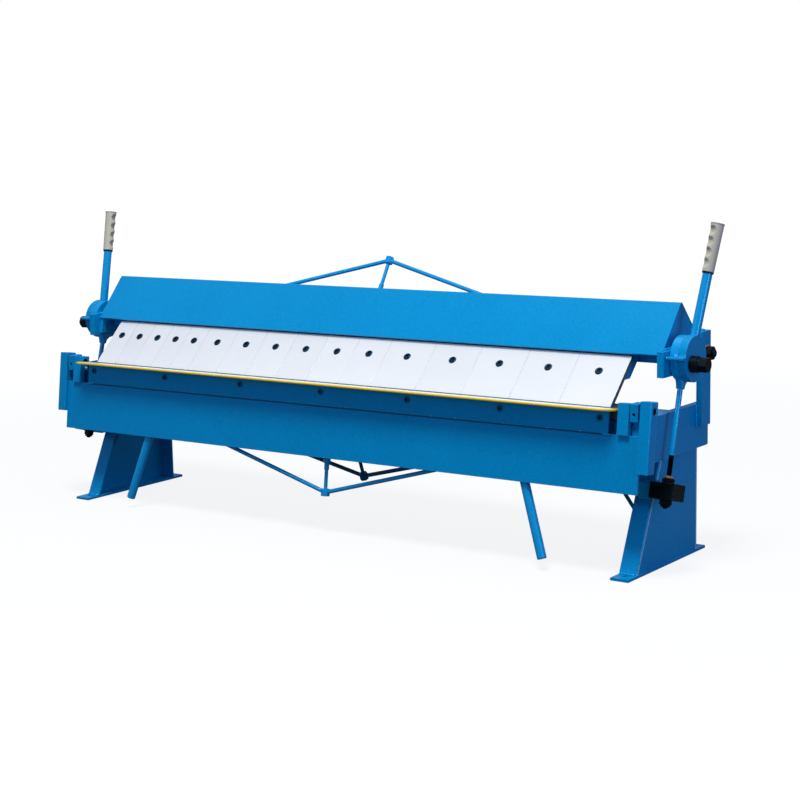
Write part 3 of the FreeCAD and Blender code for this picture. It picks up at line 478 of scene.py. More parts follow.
def tone_group():
    """Slow and fine changes of tone over a surface."""
    tree, given, result = new_tree("Tone variation", "ShaderNodeTree", (
        ("Color", "Color"), ("Slow", "Float", 0.1), ("Fine", "Float", 0.1), ("Grain", "Float", 420.0)),
        (("Color", "Color"), ("Mask", "Float")))
    slow = noise(tree, 3.2, detail=3.0)
    fine = noise(tree, given["Grain"], detail=2.0)
    slow_part = calc(tree, "MULTIPLY_ADD", calc(tree, "SUBTRACT", slow, 0.5), given["Slow"], 1.0)
    total = calc(tree, "MULTIPLY_ADD", calc(tree, "SUBTRACT", fine, 0.5), given["Fine"], slow_part)
    bright = add(tree, "ShaderNodeHueSaturation", {"Value": total, "Color": given["Color"]})
    feed(tree, result, {"Color": bright, "Mask": slow})


def edge_wear_group():
    """A mask of worn places, broken patches along the rounded edges, and a mask of the edges themselves."""
    tree, given, result = new_tree("Edge wear", "ShaderNodeTree", (
        ("Amount", "Float", 0.5), ("Scale", "Float", 90.0)), (("Mask", "Float"), ("Edge", "Float")))
    edge = add(tree, "ShaderNodeAttribute", attribute_name="edge").outputs["Fac"]
    patches = noise(tree, given["Scale"], detail=4.0, roughness=0.62)
    cut = calc(tree, "GREATER_THAN", patches, calc(tree, "SUBTRACT", 1.0, given["Amount"]))
    feed(tree, result, {"Mask": calc(tree, "MULTIPLY", cut, edge), "Edge": edge})


def dust_group():
    """Thin dust and oil film: a mask that is stronger on faces that look up."""
    tree, given, result = new_tree("Dust film", "ShaderNodeTree", (
        ("Amount", "Float", 0.15), ("Scale", "Float", 14.0)), (("Mask", "Float"),))
    upward = add(tree, "ShaderNodeMapRange", {"Value": facing(tree)["Z"], "From Min": 0.2, "From Max": 1.0})
    clouds = noise(tree, given["Scale"], detail=5.0)
    film = calc(tree, "MULTIPLY", calc(tree, "MULTIPLY", upward, clouds), given["Amount"])
    feed(tree, result, {"Mask": film})


def grind_group():
    """Grinding marks: short fine lines that run along the machine, as a mask and a normal."""
    tree, given, result = new_tree("Grinding marks", "ShaderNodeTree", (
        ("Stretch", "Vector", (6.0, 900.0, 900.0)), ("Strength", "Float", 0.15)),
        (("Mask", "Float"), ("Normal", "Vector")))
    stretched = add(tree, "ShaderNodeVectorMath", {0: own_place(tree), 1: given["Stretch"]},
                    operation="MULTIPLY")
    lines = noise(tree, 1.0, detail=3.0, place=stretched)
    bump = add(tree, "ShaderNodeBump", {"Distance": 0.0002, "Height": lines, "Strength": given["Strength"]})
    feed(tree, result, {"Mask": lines, "Normal": bump})


# Materials

def new_material(name, values=None):
    """A new material's tree and its Principled shader, with the values that are the same all over."""
    material = bpy.data.materials.new(name)
    material.use_nodes = True
    shader = material.node_tree.nodes["Principled BSDF"]
    feed(material.node_tree, shader, values or {})
    return material.node_tree, shader


def use(tree, name, **values):
    """The outputs of a shader node group, placed in a material with its own values."""
    return add(tree, "ShaderNodeGroup", {key.capitalize(): value for key, value in values.items()},
               node_tree=bpy.data.node_groups[name]).outputs


def mix_colour(tree, factor, first, second):
    """A colour mix whose ends are sockets or plain colours."""
    ends = [end if isinstance(end, bpy.types.NodeSocket) else (*end, 1) for end in (first, second)]
    mix = add(tree, "ShaderNodeMix", {"Factor": factor, 6: ends[0], 7: ends[1]}, data_type="RGBA")
    return mix.outputs[2]


def spread(tree, mask, low, high):
    """A value that goes from low to high as a mask goes from 0 to 1."""
    return add(tree, "ShaderNodeMapRange", {"Value": mask, "To Min": low, "To Max": high}).outputs[0]


def finish_shader(tree, shader, colour, roughness, normal):
    """Leads a material's colour, roughness and normal to its shader."""
    feed(tree, shader, {"Base Color": colour, "Roughness": roughness, "Normal": normal})


def enamel(name, colour, wear, peel, sheen=(0.12, 0.8, 1), shine=0.5, low=0.24):
    """Sprayed gloss enamel, mottled, lighter along its rounded edges as a painted highlight, with a thin film
    of dust.
    """
    tree, shader = new_material(name, {"Specular IOR Level": shine, "Specular Tint": (*sheen, 1)})
    tone = use(tree, "Tone variation", color=(*colour, 1), slow=0.16, fine=0.5, grain=150.0)
    rubbed = use(tree, "Edge wear", amount=wear, scale=70.0)
    dust = use(tree, "Dust film", amount=0.015)
    # The lighter colour along the rounded edges is a painted highlight.
    light = (colour[0] + 0.04, min(1.0, colour[1] * 1.5), min(1.0, colour[2] * 1.3))
    edge_lit = mix_colour(tree, spread(tree, rubbed["Edge"], 0.0, 0.35), tone["Color"], light)
    worn = mix_colour(tree, spread(tree, rubbed["Mask"], 0.0, 0.8), edge_lit, srgb(185, 232, 246))
    dusty = mix_colour(tree, dust["Mask"], worn, srgb(120, 165, 190))
    finish_shader(tree, shader, dusty, spread(tree, tone["Mask"], low, low + 0.12),
                  use(tree, "Orange peel", scale=240.0, strength=peel)["Normal"])


def ground_steel(name, colour, low, high):
    """Ground bare steel with faint grinding lines and patches of oil, and painted shade on its sides that
    face along the machine.
    """
    tree, shader = new_material(name, {"Metallic": 0.1})
    darker = times(colour, 0.72)
    grain = use(tree, "Grinding marks", strength=0.12)
    tone = use(tree, "Tone variation", color=(*colour, 1), slow=0.06, fine=0.06)
    dust = use(tree, "Dust film", amount=0.2, scale=9.0)
    own = add(tree, "ShaderNodeAttribute", attribute_name="shade")
    shaded = mix_colour(tree, spread(tree, own.outputs["Fac"], 0.0, 0.16), tone["Color"], darker)
    toned = mix_colour(tree, spread(tree, grain["Mask"], 0.0, 0.12), shaded, darker)
    oiled = mix_colour(tree, dust["Mask"], toned, darker)
    # Faces that look along the machine are darkened towards srgb(44, 66, 72): painted shade on the sides.
    shaded_sides = add(tree, "ShaderNodeMapRange", {
        "Value": calc(tree, "ABSOLUTE", facing(tree)["X"]), "From Min": 0.75, "From Max": 0.9, "To Max": 0.9})
    finish_shader(tree, shader, mix_colour(tree, shaded_sides, oiled, srgb(44, 66, 72)),
                  spread(tree, grain["Mask"], low, high), grain["Normal"])


def striped_plate(colours, stripe):
    """The bending plate: ground steel with yellow paint along its front edge and round its corners, and blue
    enamel darkened as painted shade below its top.
    """
    tree, shader = new_material("Striped plate")
    corner, half_length, front, below = 0.052, 1.264, leaf_at(0, -91, 0).y, leaf_at(0, -10, -12).z
    place = add(tree, "ShaderNodeSeparateXYZ", {"Vector": own_place(tree)}).outputs
    beyond = calc(tree, "SUBTRACT", calc(tree, "ABSOLUTE", place["X"]), half_length - corner)
    ahead = calc(tree, "SUBTRACT", front + corner, place["Y"])
    both = add(tree, "ShaderNodeCombineXYZ", {
        "X": calc(tree, "MAXIMUM", beyond, 0.0), "Y": calc(tree, "MAXIMUM", ahead, 0.0)})
    reach = add(tree, "ShaderNodeVectorMath", {0: both}, operation="LENGTH").outputs["Value"]
    ragged = noise(tree, 60.0, detail=4.0)
    edge = add(tree, "ShaderNodeMapRange", {
        "Value": calc(tree, "MULTIPLY_ADD", ragged, 0.008, reach),
        "From Min": corner - stripe + 0.002, "From Max": corner - stripe + 0.006})
    kept = calc(tree, "MULTIPLY", edge, calc(tree, "LESS_THAN", ragged, 0.68))
    above = calc(tree, "GREATER_THAN", place["Z"], below)
    grain = use(tree, "Grinding marks", strength=0.1)
    tone = use(tree, "Tone variation", color=(*colours.stripe, 1), slow=0.1, fine=0.1, grain=150.0)
    bare = mix_colour(tree, spread(tree, grain["Mask"], 0.0, 0.2), colours.ground, srgb(200, 200, 176))
    striped = mix_colour(tree, kept, bare, tone["Color"])
    # Below the plate's top the colour is the blue enamel at 0.3: blue paint darkened as painted shade.
    finish_shader(tree, shader, mix_colour(tree, above, times(colours.enamel, 0.3), striped),
                  spread(tree, kept, 0.3, 0.42), grain["Normal"])


def blackened(name, colour, low, high, metallic=0.75):
    """Blackened steel with worn, brighter edges."""
    tree, shader = new_material(name, {"Metallic": metallic})
    tone = use(tree, "Tone variation", color=(*colour, 1), slow=0.5, fine=0.3)
    rubbed = use(tree, "Edge wear", amount=0.52, scale=130.0)
    worn = mix_colour(tree, spread(tree, rubbed["Mask"], 0.0, 0.4), tone["Color"], srgb(96, 108, 106))
    finish_shader(tree, shader, worn, spread(tree, tone["Mask"], low, high),
                  use(tree, "Orange peel", scale=520.0, strength=0.25)["Normal"])


def moulded_grip(colour):
    """Moulded plastic with a fine grain, darker where hands have been."""
    tree, shader = new_material("Moulded grip")
    tone = use(tree, "Tone variation", color=(*colour, 1), slow=0.3, fine=0.25)
    handled = mix_colour(tree, spread(tree, tone["Mask"], -0.3, 0.5), tone["Color"], srgb(122, 118, 96))
    finish_shader(tree, shader, handled, spread(tree, tone["Mask"], 0.5, 0.68),
                  use(tree, "Orange peel", scale=900.0, strength=0.35)["Normal"])


class FOLDING_OT_finishes(bpy.types.Operator):
    """Builds the node trees, the shared shader groups and the materials"""

    bl_idname = "folding.finishes"
    bl_label = "Finishes"

    def execute(self, context):
        colours = context.scene.folding_colours
        for make in (row_tree, folded_sheet_tree, bead_tree, orange_peel_group, tone_group, edge_wear_group,
                     dust_group, grind_group):
            make()
        blue = colours.enamel
        enamel("Blue enamel", blue, 0.36, 0.3)
        # More pale chips along rounded edges: on the legs' bends these and the edge lightening are a painted
        # highlight as well as wear.
        enamel("Chipped enamel with painted glint", blue, 0.64, 0.3)
        # The bar enamel is the blue enamel made 1.2 times lighter: painted light on bars, handles, rods and
        # weld beads.
        enamel("Lit bar enamel", times(blue, 1.2), 0.3, 0.12, sheen=(0.3, 0.9, 1), shine=1.0, low=0.14)
        enamel("Shaded enamel", times(blue, 0.3), 0.3, 0.3)
        ground_steel("Ground steel", colours.ground, 0.3, 0.42)
        # The nose bar's steel is made dark, srgb(56, 68, 72): painted shade of the gap it is seen through.
        ground_steel("Hardened steel with painted shade", srgb(56, 68, 72), 0.36, 0.5)
        striped_plate(colours, context.scene.folding_sizes.stripe)
        blackened("Blackened steel", colours.black, 0.32, 0.55)
        blackened("Blued steel", srgb(4, 54, 76), 0.22, 0.36, 0.5)
        blackened("Brass", colours.brass, 0.25, 0.4, 0.35)
        moulded_grip(colours.grip)
        return {"FINISHED"}


# Operators for the pieces

class FOLDING_OT_stand(bpy.types.Operator):
    """Dresses the legs, foot plates, bed, side plates, posts, hinge blocks and stays"""

    bl_idname = "folding.stand"
    bl_label = "Stand and bed"

    def execute(self, context):
        edge = context.scene.folding_sizes.edge
        bend_radius, tall, close = 0.006, 0.3, 0.0005
        for side, _ in ENDS:
            for node in ("foot_plate", "side_plate", "post"):
                dress(node + "_" + side, "stand", edge)
            name = "leg_" + side
            leg = merged_copy(name)
            outside = max(abs(vert.co.x) for vert in leg.verts) - close
            bends = [e for e in leg.edges if min(abs(v.co.x) for v in e.verts) > outside
                     and abs(e.verts[0].co.z - e.verts[1].co.z) > tall]
            # The rounded bends are marked as edges, so the leg enamel lightens them: a painted highlight
            # along each bend.
            round_edges(leg, bend_radius, segments=5, edges=bends)
            round_edges(leg, edge)
            complete(name + "_dressed", leg, "stand", "Chipped enamel with painted glint", name)
        dress("bed_beam", "stand", edge)
        dress("trunnion_brackets", "stand", edge)
        dress("corner_stays", "stand", edge, "Shaded enamel")
        # The nose bar's dark steel is painted shade.
        dress("bed_nose_bar", "stand", edge / 3, "Hardened steel with painted shade")
        blocks = merged_copy("hinge_blocks")
        round_edges(blocks, edge)
        outward, screw_x, screw_y, screw_z = Vector((0, -1, 0)), 1331, -26, -11
        for _, way in ENDS:
            blocks = bored(blocks, at(way * screw_x, screw_y, screw_z), outward, 0.006, 0.005, 0.003)
        complete("hinge_blocks_dressed", blocks, "stand", "Blue enamel", "hinge_blocks")
        screw = turned([(0.0058, -0.005), (0.0058, -0.0025), (0.0052, -0.002), (0.0035, -0.002, 0.006),
                        (0.0035, -0.0045, 0.006)], Vector(), outward, segments=24)
        screws = row("set_screws", screw, 2, at(-screw_x, screw_y, screw_z),
                     at(screw_x, 0, 0) - at(-screw_x, 0, 0), "Blackened steel")
        hand_over(screws, "stand", "Blackened steel")
        cap = turned([(0.010, 0), (0.010, 0.003), (0.008, 0.0062), (0.004, 0.0078), (0.001, 0.008)], Vector(),
                     Vector((0, 0, 1)), segments=24)
        first, last = at(-1352, 440, 222), at(1352, 440, 222)
        caps = row("post_screws", cap, 2, first, last - first, "Blue enamel")
        hand_over(caps, "stand", "Blue enamel")
        weld("stand_welds", "stand", (
            ((1343, 415, -42), (1343, 415, -113), (1344, 421, -116)), ((1343, 488, -113), (1343, 488, -42)),
            ((1306, 92, -573), (1306, 138, -573)), ((1306, 306, -573), (1306, 352, -573)),
            ((1256, 19, -573), (1308, 19, -573)), ((1256, 486, -573), (1308, 486, -573))))
        return {"FINISHED"}


class FOLDING_OT_trusses(bpy.types.Operator):
    """Dresses the truss rods and posts of the bed, the leaf and the clamp beam, and adds their nuts"""

    bl_idname = "folding.trusses"
    bl_label = "Trusses"

    def execute(self, context):
        edge = context.scene.folding_sizes.edge
        lean = radians(30.8)
        slant = radians(20)
        upward, downward = Vector((0, sin(lean), cos(lean))), Vector((0, sin(slant), -cos(slant)))
        beams = (
            ("clamp", "clamp_beam", "Lit bar enamel", at(0, 353, 289.2), upward, 0.012),
            ("bed", "stand", "Shaded enamel", at(0, 163, -196), downward, 0.012),
            ("leaf", "leaf", "Lit bar enamel", leaf_at(0, 46, -283), leaf_at(0, 0, -1) - leaf_at(0, 0, 0), 0.002))
        for beam, body, finish, foot, out, seat in beams:
            for part in ("_truss_rod_right", "_truss_rod_left", "_truss_post"):
                dress(beam + part, body, edge * 2.2, finish)
            washer_top, nut_top, stud_top = seat + 0.003, seat + 0.021, seat + 0.047
            nut = turned(hex_rings(0.026, washer_top, nut_top), foot, out, segments=36)
            washer = [(0.0155, seat - 0.004), (0.0155, washer_top - 0.001), (0.0148, washer_top)]
            stud = [(0.0095, nut_top), (0.0095, stud_top - 0.001), (0.0085, stud_top)]
            for rings in (washer, stud):
                turned(rings, foot, out, onto=nut)
            complete(beam + "_truss_nut", nut, body, finish)
        return {"FINISHED"}


class FOLDING_OT_leaf(bpy.types.Operator):
    """Dresses the leaf's panel, bars, bending plate, hinges and handles, with its row of screws"""

    bl_idname = "folding.leaf"
    bl_label = "Folding leaf"

    def execute(self, context):
        edge = context.scene.folding_sizes.edge
        for name in ("leaf_panel", "leaf_front_bar", "hinge_cheeks", "hinge_bars"):
            dress(name, "leaf", edge)
        for side, _ in ENDS:
            dress("leaf_handle_" + side, "leaf", edge * 3, "Lit bar enamel")
        plate = merged_copy("leaf_top_plate")
        round_edges(plate, 0.0035, segments=4)
        complete("leaf_top_plate_dressed", plate, "leaf", "Striped plate", "leaf_top_plate")
        dress("hinge_pins", "leaf", edge, "Blackened steel")
        outward = leaf_at(0, -1, 0) - leaf_at(0, 0, 0)
        count, start, step = 7, leaf_at(-1200, -16.5, -34), Vector((0.4, 0, 0))
        head_rings = socket_rings(0.0115, 0.005, 0.011, 0.0045, 0.005, 0.007)
        head = turned(head_rings, Vector(), outward, segments=36)
        hand_over(row("leaf_screws", head, count, start, step, "Shaded enamel"), "leaf", "Shaded enamel")
        # A black plug in each socket makes it look dark: painted shade in the recess.
        shade_plug_rings = [(0.0068, -0.001, 0.0108), (0.0068, 0.0022, 0.0108), (0.004, 0.0026)]
        shade_plug = turned(shade_plug_rings, Vector(), outward, segments=24)
        shade_plugs = row("leaf_screw_sockets", shade_plug, count, start, step, "Blackened steel")
        hand_over(shade_plugs, "leaf", "Blackened steel")
        weld("leaf_welds", "leaf", (
            ((1273, -14, -88), (1311, -14, -88)), ((1214, -16, -88), (1236, -14, -88))), place=leaf_at)
        # A thin dark strip under the front bar: a painted shadow along the joint.
        shadow_strip_outline = ((-14.6, -91.4), (-12, -91.4), (-12, -86.2), (-14.6, -86.2))
        shadow_strip = prism([leaf_at(0, y, z) for y, z in shadow_strip_outline], half=1.23)
        complete("leaf_seam", shadow_strip, "leaf", "Shaded enamel")
        return {"FINISHED"}


class FOLDING_OT_roof(bpy.types.Operator):
    """Makes the clamp beam's roof as one folded sheet, and dresses the plates inside it"""

    bl_idname = "folding.roof"
    bl_label = "Clamp beam roof"

    def execute(self, context):
        sizes = context.scene.folding_sizes
        foot, ridge, rear = (at(0, y, z) for y, z in ((159, 167), (306, 338), (487, 150)))
        wall, length = 0.008, 2.676
        up = (ridge - foot).normalized()
        down = (rear - ridge).normalized()
        front_in = Vector((0, up.z, -up.y))
        rear_in = Vector((0, down.z, -down.y))
        ridge_in = ridge + (front_in + rear_in) * (wall / (1 + front_in.dot(rear_in)))
        outline = [foot, foot + front_in * wall, ridge_in, rear + rear_in * wall, rear, ridge]
        sheet_edge = sizes.edge / 2
        inner = max(sheet_edge, sizes.ridge_radius - wall)
        radii = (sheet_edge, sheet_edge, inner, sheet_edge, sheet_edge, sizes.ridge_radius)
        bm = bmesh.new()
        fold = bm.verts.layers.float.new("fold")
        ring = []
        for place, radius in zip(outline, radii):
            corner = bm.verts.new((place.y, place.z, 0))
            corner[fold] = radius / sizes.ridge_radius
            ring.append(corner)
        for first, second in zip(ring, ring[1:] + ring[:1]):
            bm.edges.new((first, second))
        piece = run_tree(new_piece("clamp_roof_dressed", bm), "Folded sheet", "Blue enamel", length=length,
                         fold_steps=6, fold_radius=sizes.ridge_radius)
        hand_over(piece, "clamp_beam", "Blue enamel", "clamp_front_plate", "clamp_rear_plate")
        for name in ("clamp_web", "clamp_ribs", "clamp_end_right", "clamp_end_left", "finger_seat_bar",
                     "bearing_blocks"):
            dress(name, "clamp_beam", sizes.edge * 0.7)
        weld("clamp_welds", "clamp_beam", (((1340, 148, 184), (1340, 288, 184)),))
        return {"FINISHED"}


class FOLDING_OT_fingers(bpy.types.Operator):
    """Makes the rows of ground fingers and their screws"""

    bl_idname = "folding.fingers"
    bl_label = "Fingers"

    def execute(self, context):
        slope = Vector((0, 1, 1)).normalized()
        inward = Vector((0, 1, -1)).normalized()
        tip = at(0, 15.5, 0)
        lift, face, thick, screw_place, screw_seat = 0.0003, 0.221, 0.017, 0.147, 0.004
        half_gap, working_length, hole, shank = 0.0002, 2.4384, 0.0148, 0.006
        outline = [tip + Vector((0, lift, lift)), tip + Vector((0, lift + thick * 2 ** 0.5, lift)),
                   tip + slope * face + inward * thick, tip + slope * face]
        fingers, screws = [], []
        left = -working_length / 2
        for count, width in ((5, 0.1016), (6, 0.1524), (5, 0.2032)):
            bm = prism(outline, width / 2 - half_gap)
            round_edges(bm, context.scene.folding_sizes.finger_edge)
            mouth = tip + slope * screw_place
            bm = bored(bm, mouth, -inward, hole, screw_seat, shank)
            step = Vector((width, 0, 0))
            middle = Vector((left + width / 2, 0, 0))
            fingers.append(row("fingers_part", bm, count, middle, step, "Ground steel"))
            screw = turned(socket_rings(0.0145, 0.007, 0.014, 0.005, shank, 0.02), Vector(), -inward)
            seat = mouth + inward * screw_seat + middle
            screws.append(row("finger_screws_part", screw, count, seat, step, "Blued steel"))
            left += count * width
        hand_over(joined("fingers_dressed", fingers), "clamp_beam", "Ground steel", "fingers")
        hand_over(joined("finger_screws", screws), "clamp_beam", "Blued steel")
        return {"FINISHED"}


class FOLDING_OT_levers(bpy.types.Operator):
    """Makes the lever grips, and dresses the hubs and bars that carry them"""

    bl_idname = "folding.levers"
    bl_label = "Levers"

    def execute(self, context):
        edge = context.scene.folding_sizes.edge
        splay, lean, bar_length = radians(5.1), radians(15.1), 0.3
        steps, start, length, radius, taper = 86, 0.003, 0.163, 0.021, 0.0145
        grooves = {"right": Vector((-0.5, -0.86, 0)), "left": Vector((0.95, 0.3, 0))}
        for side, way in ENDS:
            body = "lever_assembly_" + side
            dress("lever_hub_" + side, body, edge * 2)
            dress("lever_" + side, body, edge, "Lit bar enamel")
            axis = Vector((way * tan(splay), tan(lean), 1)).normalized()
            foot = at(way * 1404.5, 241, 151) + axis * bar_length
            rings = [(0.019, 0.0005), (0.0206, 0.0015)]
            for k in range(steps + 1):
                along = start + length * k / steps
                rings.append((radius + taper * along, along))
            rings += [(0.0248, 0.1672), (0.0252, 0.1695), (0.0240, 0.1708), (0.015, 0.1714)]
            grip = turned(rings, foot, axis, shape=grip_reach, side=grooves[side])
            complete("lever_grip_dressed_" + side, grip, body, "Moulded grip", "lever_grip_" + side)
            collar = turned([(0.0165, -0.004), (0.0195, -0.004), (0.0205, -0.003), (0.0205, 0.0),
                             (0.0195, 0.001), (0.0165, 0.001)], foot, axis, hollow=True)
            complete("lever_ring_" + side, collar, body, "Blackened steel")
        return {"FINISHED"}


class FOLDING_OT_links(bpy.types.Operator):
    """Makes the straps, threaded rods and nuts of the links, and dresses their blocks"""

    bl_idname = "folding.links"
    bl_label = "Links"

    def execute(self, context):
        sizes = context.scene.folding_sizes
        line = Vector((0, 117 - 241, -293 - 151)) / 1000
        long, down = line.length, line.normalized()
        across = Vector((0, -down.z, down.y))
        half, inner, outer, cut = 0.0165, 0.059, 0.0795, 0.0024
        rod, rod_end, block_face, washer_top, nut_top = 0.0095, 0.335, 0.0285, 0.0032, 0.0172
        strap_rings = [(inner, -half), (outer - cut, -half), (outer - cut * 0.3, cut * 0.3 - half),
                       (outer, cut - half), (outer, half - cut), (outer - cut * 0.3, half - cut * 0.3),
                       (outer - cut, half), (inner, half)]
        neck_line = ((0.066, 0.034), (0.0795, 0.0235), (0.087, 0.0165), (0.096, 0.012), (0.108, 0.0098))
        spots = [down * far + across * wide for far, wide in neck_line]
        spots += [down * far - across * wide for far, wide in reversed(neck_line)]
        thread_rings = [(0.0078, rod_end - 0.001)]
        for k in range(int((long + 0.0575 - rod_end) / sizes.thread_pitch)):
            thread_rings += [(0.0079, rod_end + k * sizes.thread_pitch),
                             (0.0094, rod_end + (k + 0.5) * sizes.thread_pitch)]
        thread_rings += [(0.0079, long + 0.0565), (0.0068, long + 0.058)]
        for side, way in ENDS:
            body = "link_assembly_" + side
            centre = at(way * 1381.5, 241, 151)
            strap = turned(strap_rings, centre, Vector((1, 0, 0)), segments=96, hollow=True)
            neck = prism([centre + spot for spot in spots], half=0.013)
            round_edges(neck, 0.004, segments=3)
            bar = turned([(rod, 0.09), (rod, rod_end - 0.003), (rod - 0.001, rod_end + 0.002)], centre, down)
            parts = [new_piece("link_part", part) for part in (strap, neck, bar)]
            hand_over(joined("link_dressed_" + side, parts), body, "Lit bar enamel", "link_" + side)
            thread = turned(thread_rings, centre, down, segments=28)
            complete("link_thread_" + side, thread, body, "Blackened steel")
            nuts = bmesh.new()
            upper, lower = centre + down * (long - block_face), centre + down * (long + block_face)
            for seat, out in ((upper, -down), (lower, down)):
                turned([(0.021, -0.0002), (0.022, 0.0006), (0.022, 0.0026), (0.021, washer_top)], seat, out,
                       onto=nuts)
                turned(hex_rings(0.038, washer_top, nut_top), seat, out, onto=nuts)
            turned(hex_rings(0.030, nut_top, 0.0242), lower, down, onto=nuts)
            complete("link_nuts_" + side, nuts, body, "Blackened steel")
            brass = turned(hex_rings(0.0235, nut_top, 0.0262), upper, -down)
            complete("link_brass_nut_" + side, brass, body, "Brass")
            dress("trunnion_block_" + side, body, sizes.edge, "Blackened steel")
        return {"FINISHED"}


class FOLDING_OT_bolts(bpy.types.Operator):
    """Makes the eccentric bolts and the rear pivot bolts with their washers"""

    bl_idname = "folding.bolts"
    bl_label = "Bolts"

    def execute(self, context):
        eccentric, pivot, washers = bmesh.new(), bmesh.new(), bmesh.new()
        eccentric_rings = [(0.018, 0), (0.018, 0.0885), (0.0278, 0.0885), (0.029, 0.0897), (0.029, 0.114),
                           (0.0275, 0.1165), (0.025, 0.118), (0.025, 0.1225)]
        eccentric_rings += hex_rings(0.048, 0.1225, 0.151, 0.002)[1:]
        pivot_rings = hex_rings(0.034, -0.0163, -0.0003) + [(0.016, 0), (0.016, 0.038)]
        pivot_rings += hex_rings(0.046, 0.0428, 0.066, 0.002)
        pivot_rings += [(0.0145, 0.066), (0.0145, 0.0715), (0.013, 0.073)]
        washer_rings = [(0.0165, 0.0001), (0.027, 0.0001), (0.028, 0.0008), (0.028, 0.0032), (0.027, 0.0038),
                        (0.0165, 0.0038)]
        for _, way in ENDS:
            outward = Vector((way, 0, 0))
            turned(eccentric_rings, at(way * 1338, 209, 137), outward, segments=72, onto=eccentric)
            turned(pivot_rings, at(way * 1323.7, 451.5, 143), outward, segments=72, onto=pivot)
            turned(washer_rings, at(way * 1363, 451.5, 143), outward, hollow=True, onto=washers)
        complete("eccentric_bolts_dressed", eccentric, "clamp_beam", "Blackened steel", "eccentric_bolts")
        complete("rear_pivot_bolts_dressed", pivot, "stand", "Blackened steel", "rear_pivot_bolts")
        complete("rear_pivot_washers", washers, "stand", "Brass")
        return {"FINISHED"}


# Stage

def pale_share(tree):
    """How much of the pale background a ray shows: all of it to the camera, part of it as a reflection."""
    rays = add(tree, "ShaderNodeLightPath").outputs
    return add(tree, "ShaderNodeMath", {0: rays["Is Glossy Ray"], 1: 0.03, 2: rays["Is Camera Ray"]},
               operation="MULTIPLY_ADD", use_clamp=True)


def set_floor():
    """A grey floor that keeps the shadow and shows pale to the camera, whitest far away."""
    bm = bmesh.new()
    bmesh.ops.create_grid(bm, x_segments=1, y_segments=1, size=30)
    floor = new_piece("floor", bm)
    tree, shader = new_material("Floor", {
        "Base Color": (0.14, 0.14, 0.14, 1), "Roughness": 0.9, "Specular IOR Level": 0.0})
    away = add(tree, "ShaderNodeVectorMath", {0: own_place(tree)}, operation="LENGTH").outputs["Value"]
    fading = add(tree, "ShaderNodeMapRange", {
        "Value": away, "From Min": 2.0, "From Max": 8.0, "To Min": 0.87, "To Max": 1.0},
        interpolation_type="SMOOTHSTEP")
    strength = calc(tree, "MULTIPLY", pale_share(tree), fading)
    pale = add(tree, "ShaderNodeEmission", {"Strength": strength})
    both = add(tree, "ShaderNodeAddShader", {0: shader, 1: pale})
    feed(tree, tree.nodes["Material Output"], {"Surface": both})
    floor.data.materials.append(bpy.data.materials["Floor"])


def set_world(scene):
    """A soft bluish light from all round, and a white background."""
    scene.world = bpy.data.worlds.new("Studio")
    scene.world.use_nodes = True
    sky = scene.world.node_tree
    light = sky.nodes["Background"]
    feed(sky, light, {"Color": (0.5, 0.62, 1.0, 1), "Strength": 0.4})
    white = add(sky, "ShaderNodeBackground", {"Color": (1, 1, 1, 1)})
    mix = add(sky, "ShaderNodeMixShader", {0: pale_share(sky), 1: light, 2: white})
    feed(sky, sky.nodes["World Output"], {"Surface": mix})


def set_lamps():
    """Area lamps that look at the middle of the machine."""
    white, cool = (1, 1, 1), (0.45, 0.55, 1)
    lamps = (("Key", (1.2, -3.4, 8.6), 525, 2.4, white), ("Top", (0.3, 0.8, 5.4), 30, 4.0, white),
             ("Front", (-2.2, -6.5, 2.8), 30, 0.5, cool), ("Side", (5.2, -1.3, 1.1), 36, 1.2, cool))
    middle = Vector((0, 0, 0.6))
    for name, place, power, size, colour in lamps:
        lamp = bpy.data.lights.new(name, "AREA")
        lamp.energy = power
        lamp.size = size
        lamp.color = colour
        stand = place_object(name, lamp)
        stand.location = place
        stand.rotation_euler = (middle - Vector(place)).to_track_quat("-Z", "Y").to_euler()


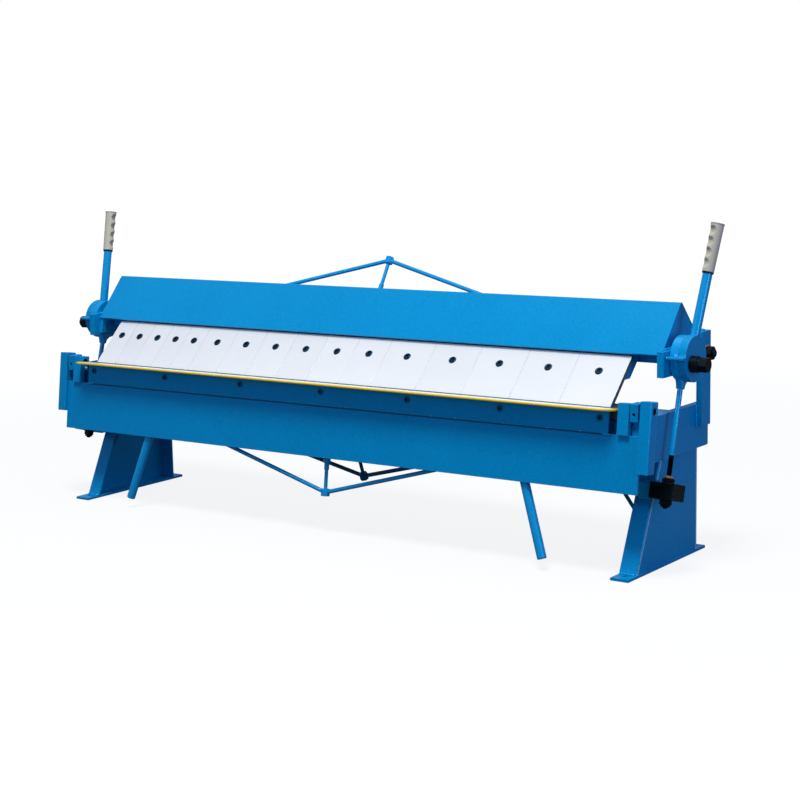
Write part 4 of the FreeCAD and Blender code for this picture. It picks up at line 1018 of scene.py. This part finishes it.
def set_camera(scene):
    """The camera where the photograph was taken from."""
    yaw, pitch, roll = radians(35.87), radians(8.99), radians(-1.14)
    ahead = Vector((-sin(yaw) * cos(pitch), cos(yaw) * cos(pitch), -sin(pitch)))
    level = Vector((cos(yaw), sin(yaw), 0))
    over = level.cross(ahead)
    right = level * cos(roll) + over * sin(roll)
    up = over * cos(roll) - level * sin(roll)
    lens = bpy.data.cameras.new("Camera")
    lens.lens = 78.75
    lens.sensor_width = 36
    camera = place_object("Camera", lens)
    camera.matrix_world = Matrix((right, up, -ahead)).transposed().to_4x4()
    camera.location = (4.065, -5.385, 1.548)
    scene.camera = camera


class FOLDING_OT_stage(bpy.types.Operator):
    """Sets up the floor, the light and the camera"""

    bl_idname = "folding.stage"
    bl_label = "Stage"

    def execute(self, context):
        set_floor()
        set_world(context.scene)
        context.scene.view_settings.view_transform = "Standard"
        set_lamps()
        set_camera(context.scene)
        return {"FINISHED"}


class FOLDING_PT_panel(bpy.types.Panel):
    """The folding machine's operators and settings"""

    bl_idname = "FOLDING_PT_panel"
    bl_label = "Folding machine"
    bl_space_type = "VIEW_3D"
    bl_region_type = "UI"
    bl_category = "Folding machine"

    def draw(self, context):
        for group in (context.scene.folding_sizes, context.scene.folding_colours):
            box = self.layout.box()
            for name in group.__annotations__:
                box.prop(group, name)
        for operator in OPERATORS:
            self.layout.operator(operator.bl_idname)


OPERATORS = (FOLDING_OT_finishes, FOLDING_OT_stand, FOLDING_OT_trusses, FOLDING_OT_leaf, FOLDING_OT_roof,
             FOLDING_OT_fingers, FOLDING_OT_levers, FOLDING_OT_links, FOLDING_OT_bolts, FOLDING_OT_stage)
CLASSES = (FoldingSizes, FoldingColours) + OPERATORS + (FOLDING_PT_panel,)


def register():
    for cls in CLASSES:
        bpy.utils.register_class(cls)
    bpy.types.Scene.folding_sizes = bpy.props.PointerProperty(type=FoldingSizes)
    bpy.types.Scene.folding_colours = bpy.props.PointerProperty(type=FoldingColours)


def unregister():
    del bpy.types.Scene.folding_colours
    del bpy.types.Scene.folding_sizes
    for cls in reversed(CLASSES):
        bpy.utils.unregister_class(cls)


def main():
    """Makes every piece in order."""
    register()
    for operator in OPERATORS:
        group, name = operator.bl_idname.split(".")
        getattr(getattr(bpy.ops, group), name)()


if __name__ == "__main__":
    main()
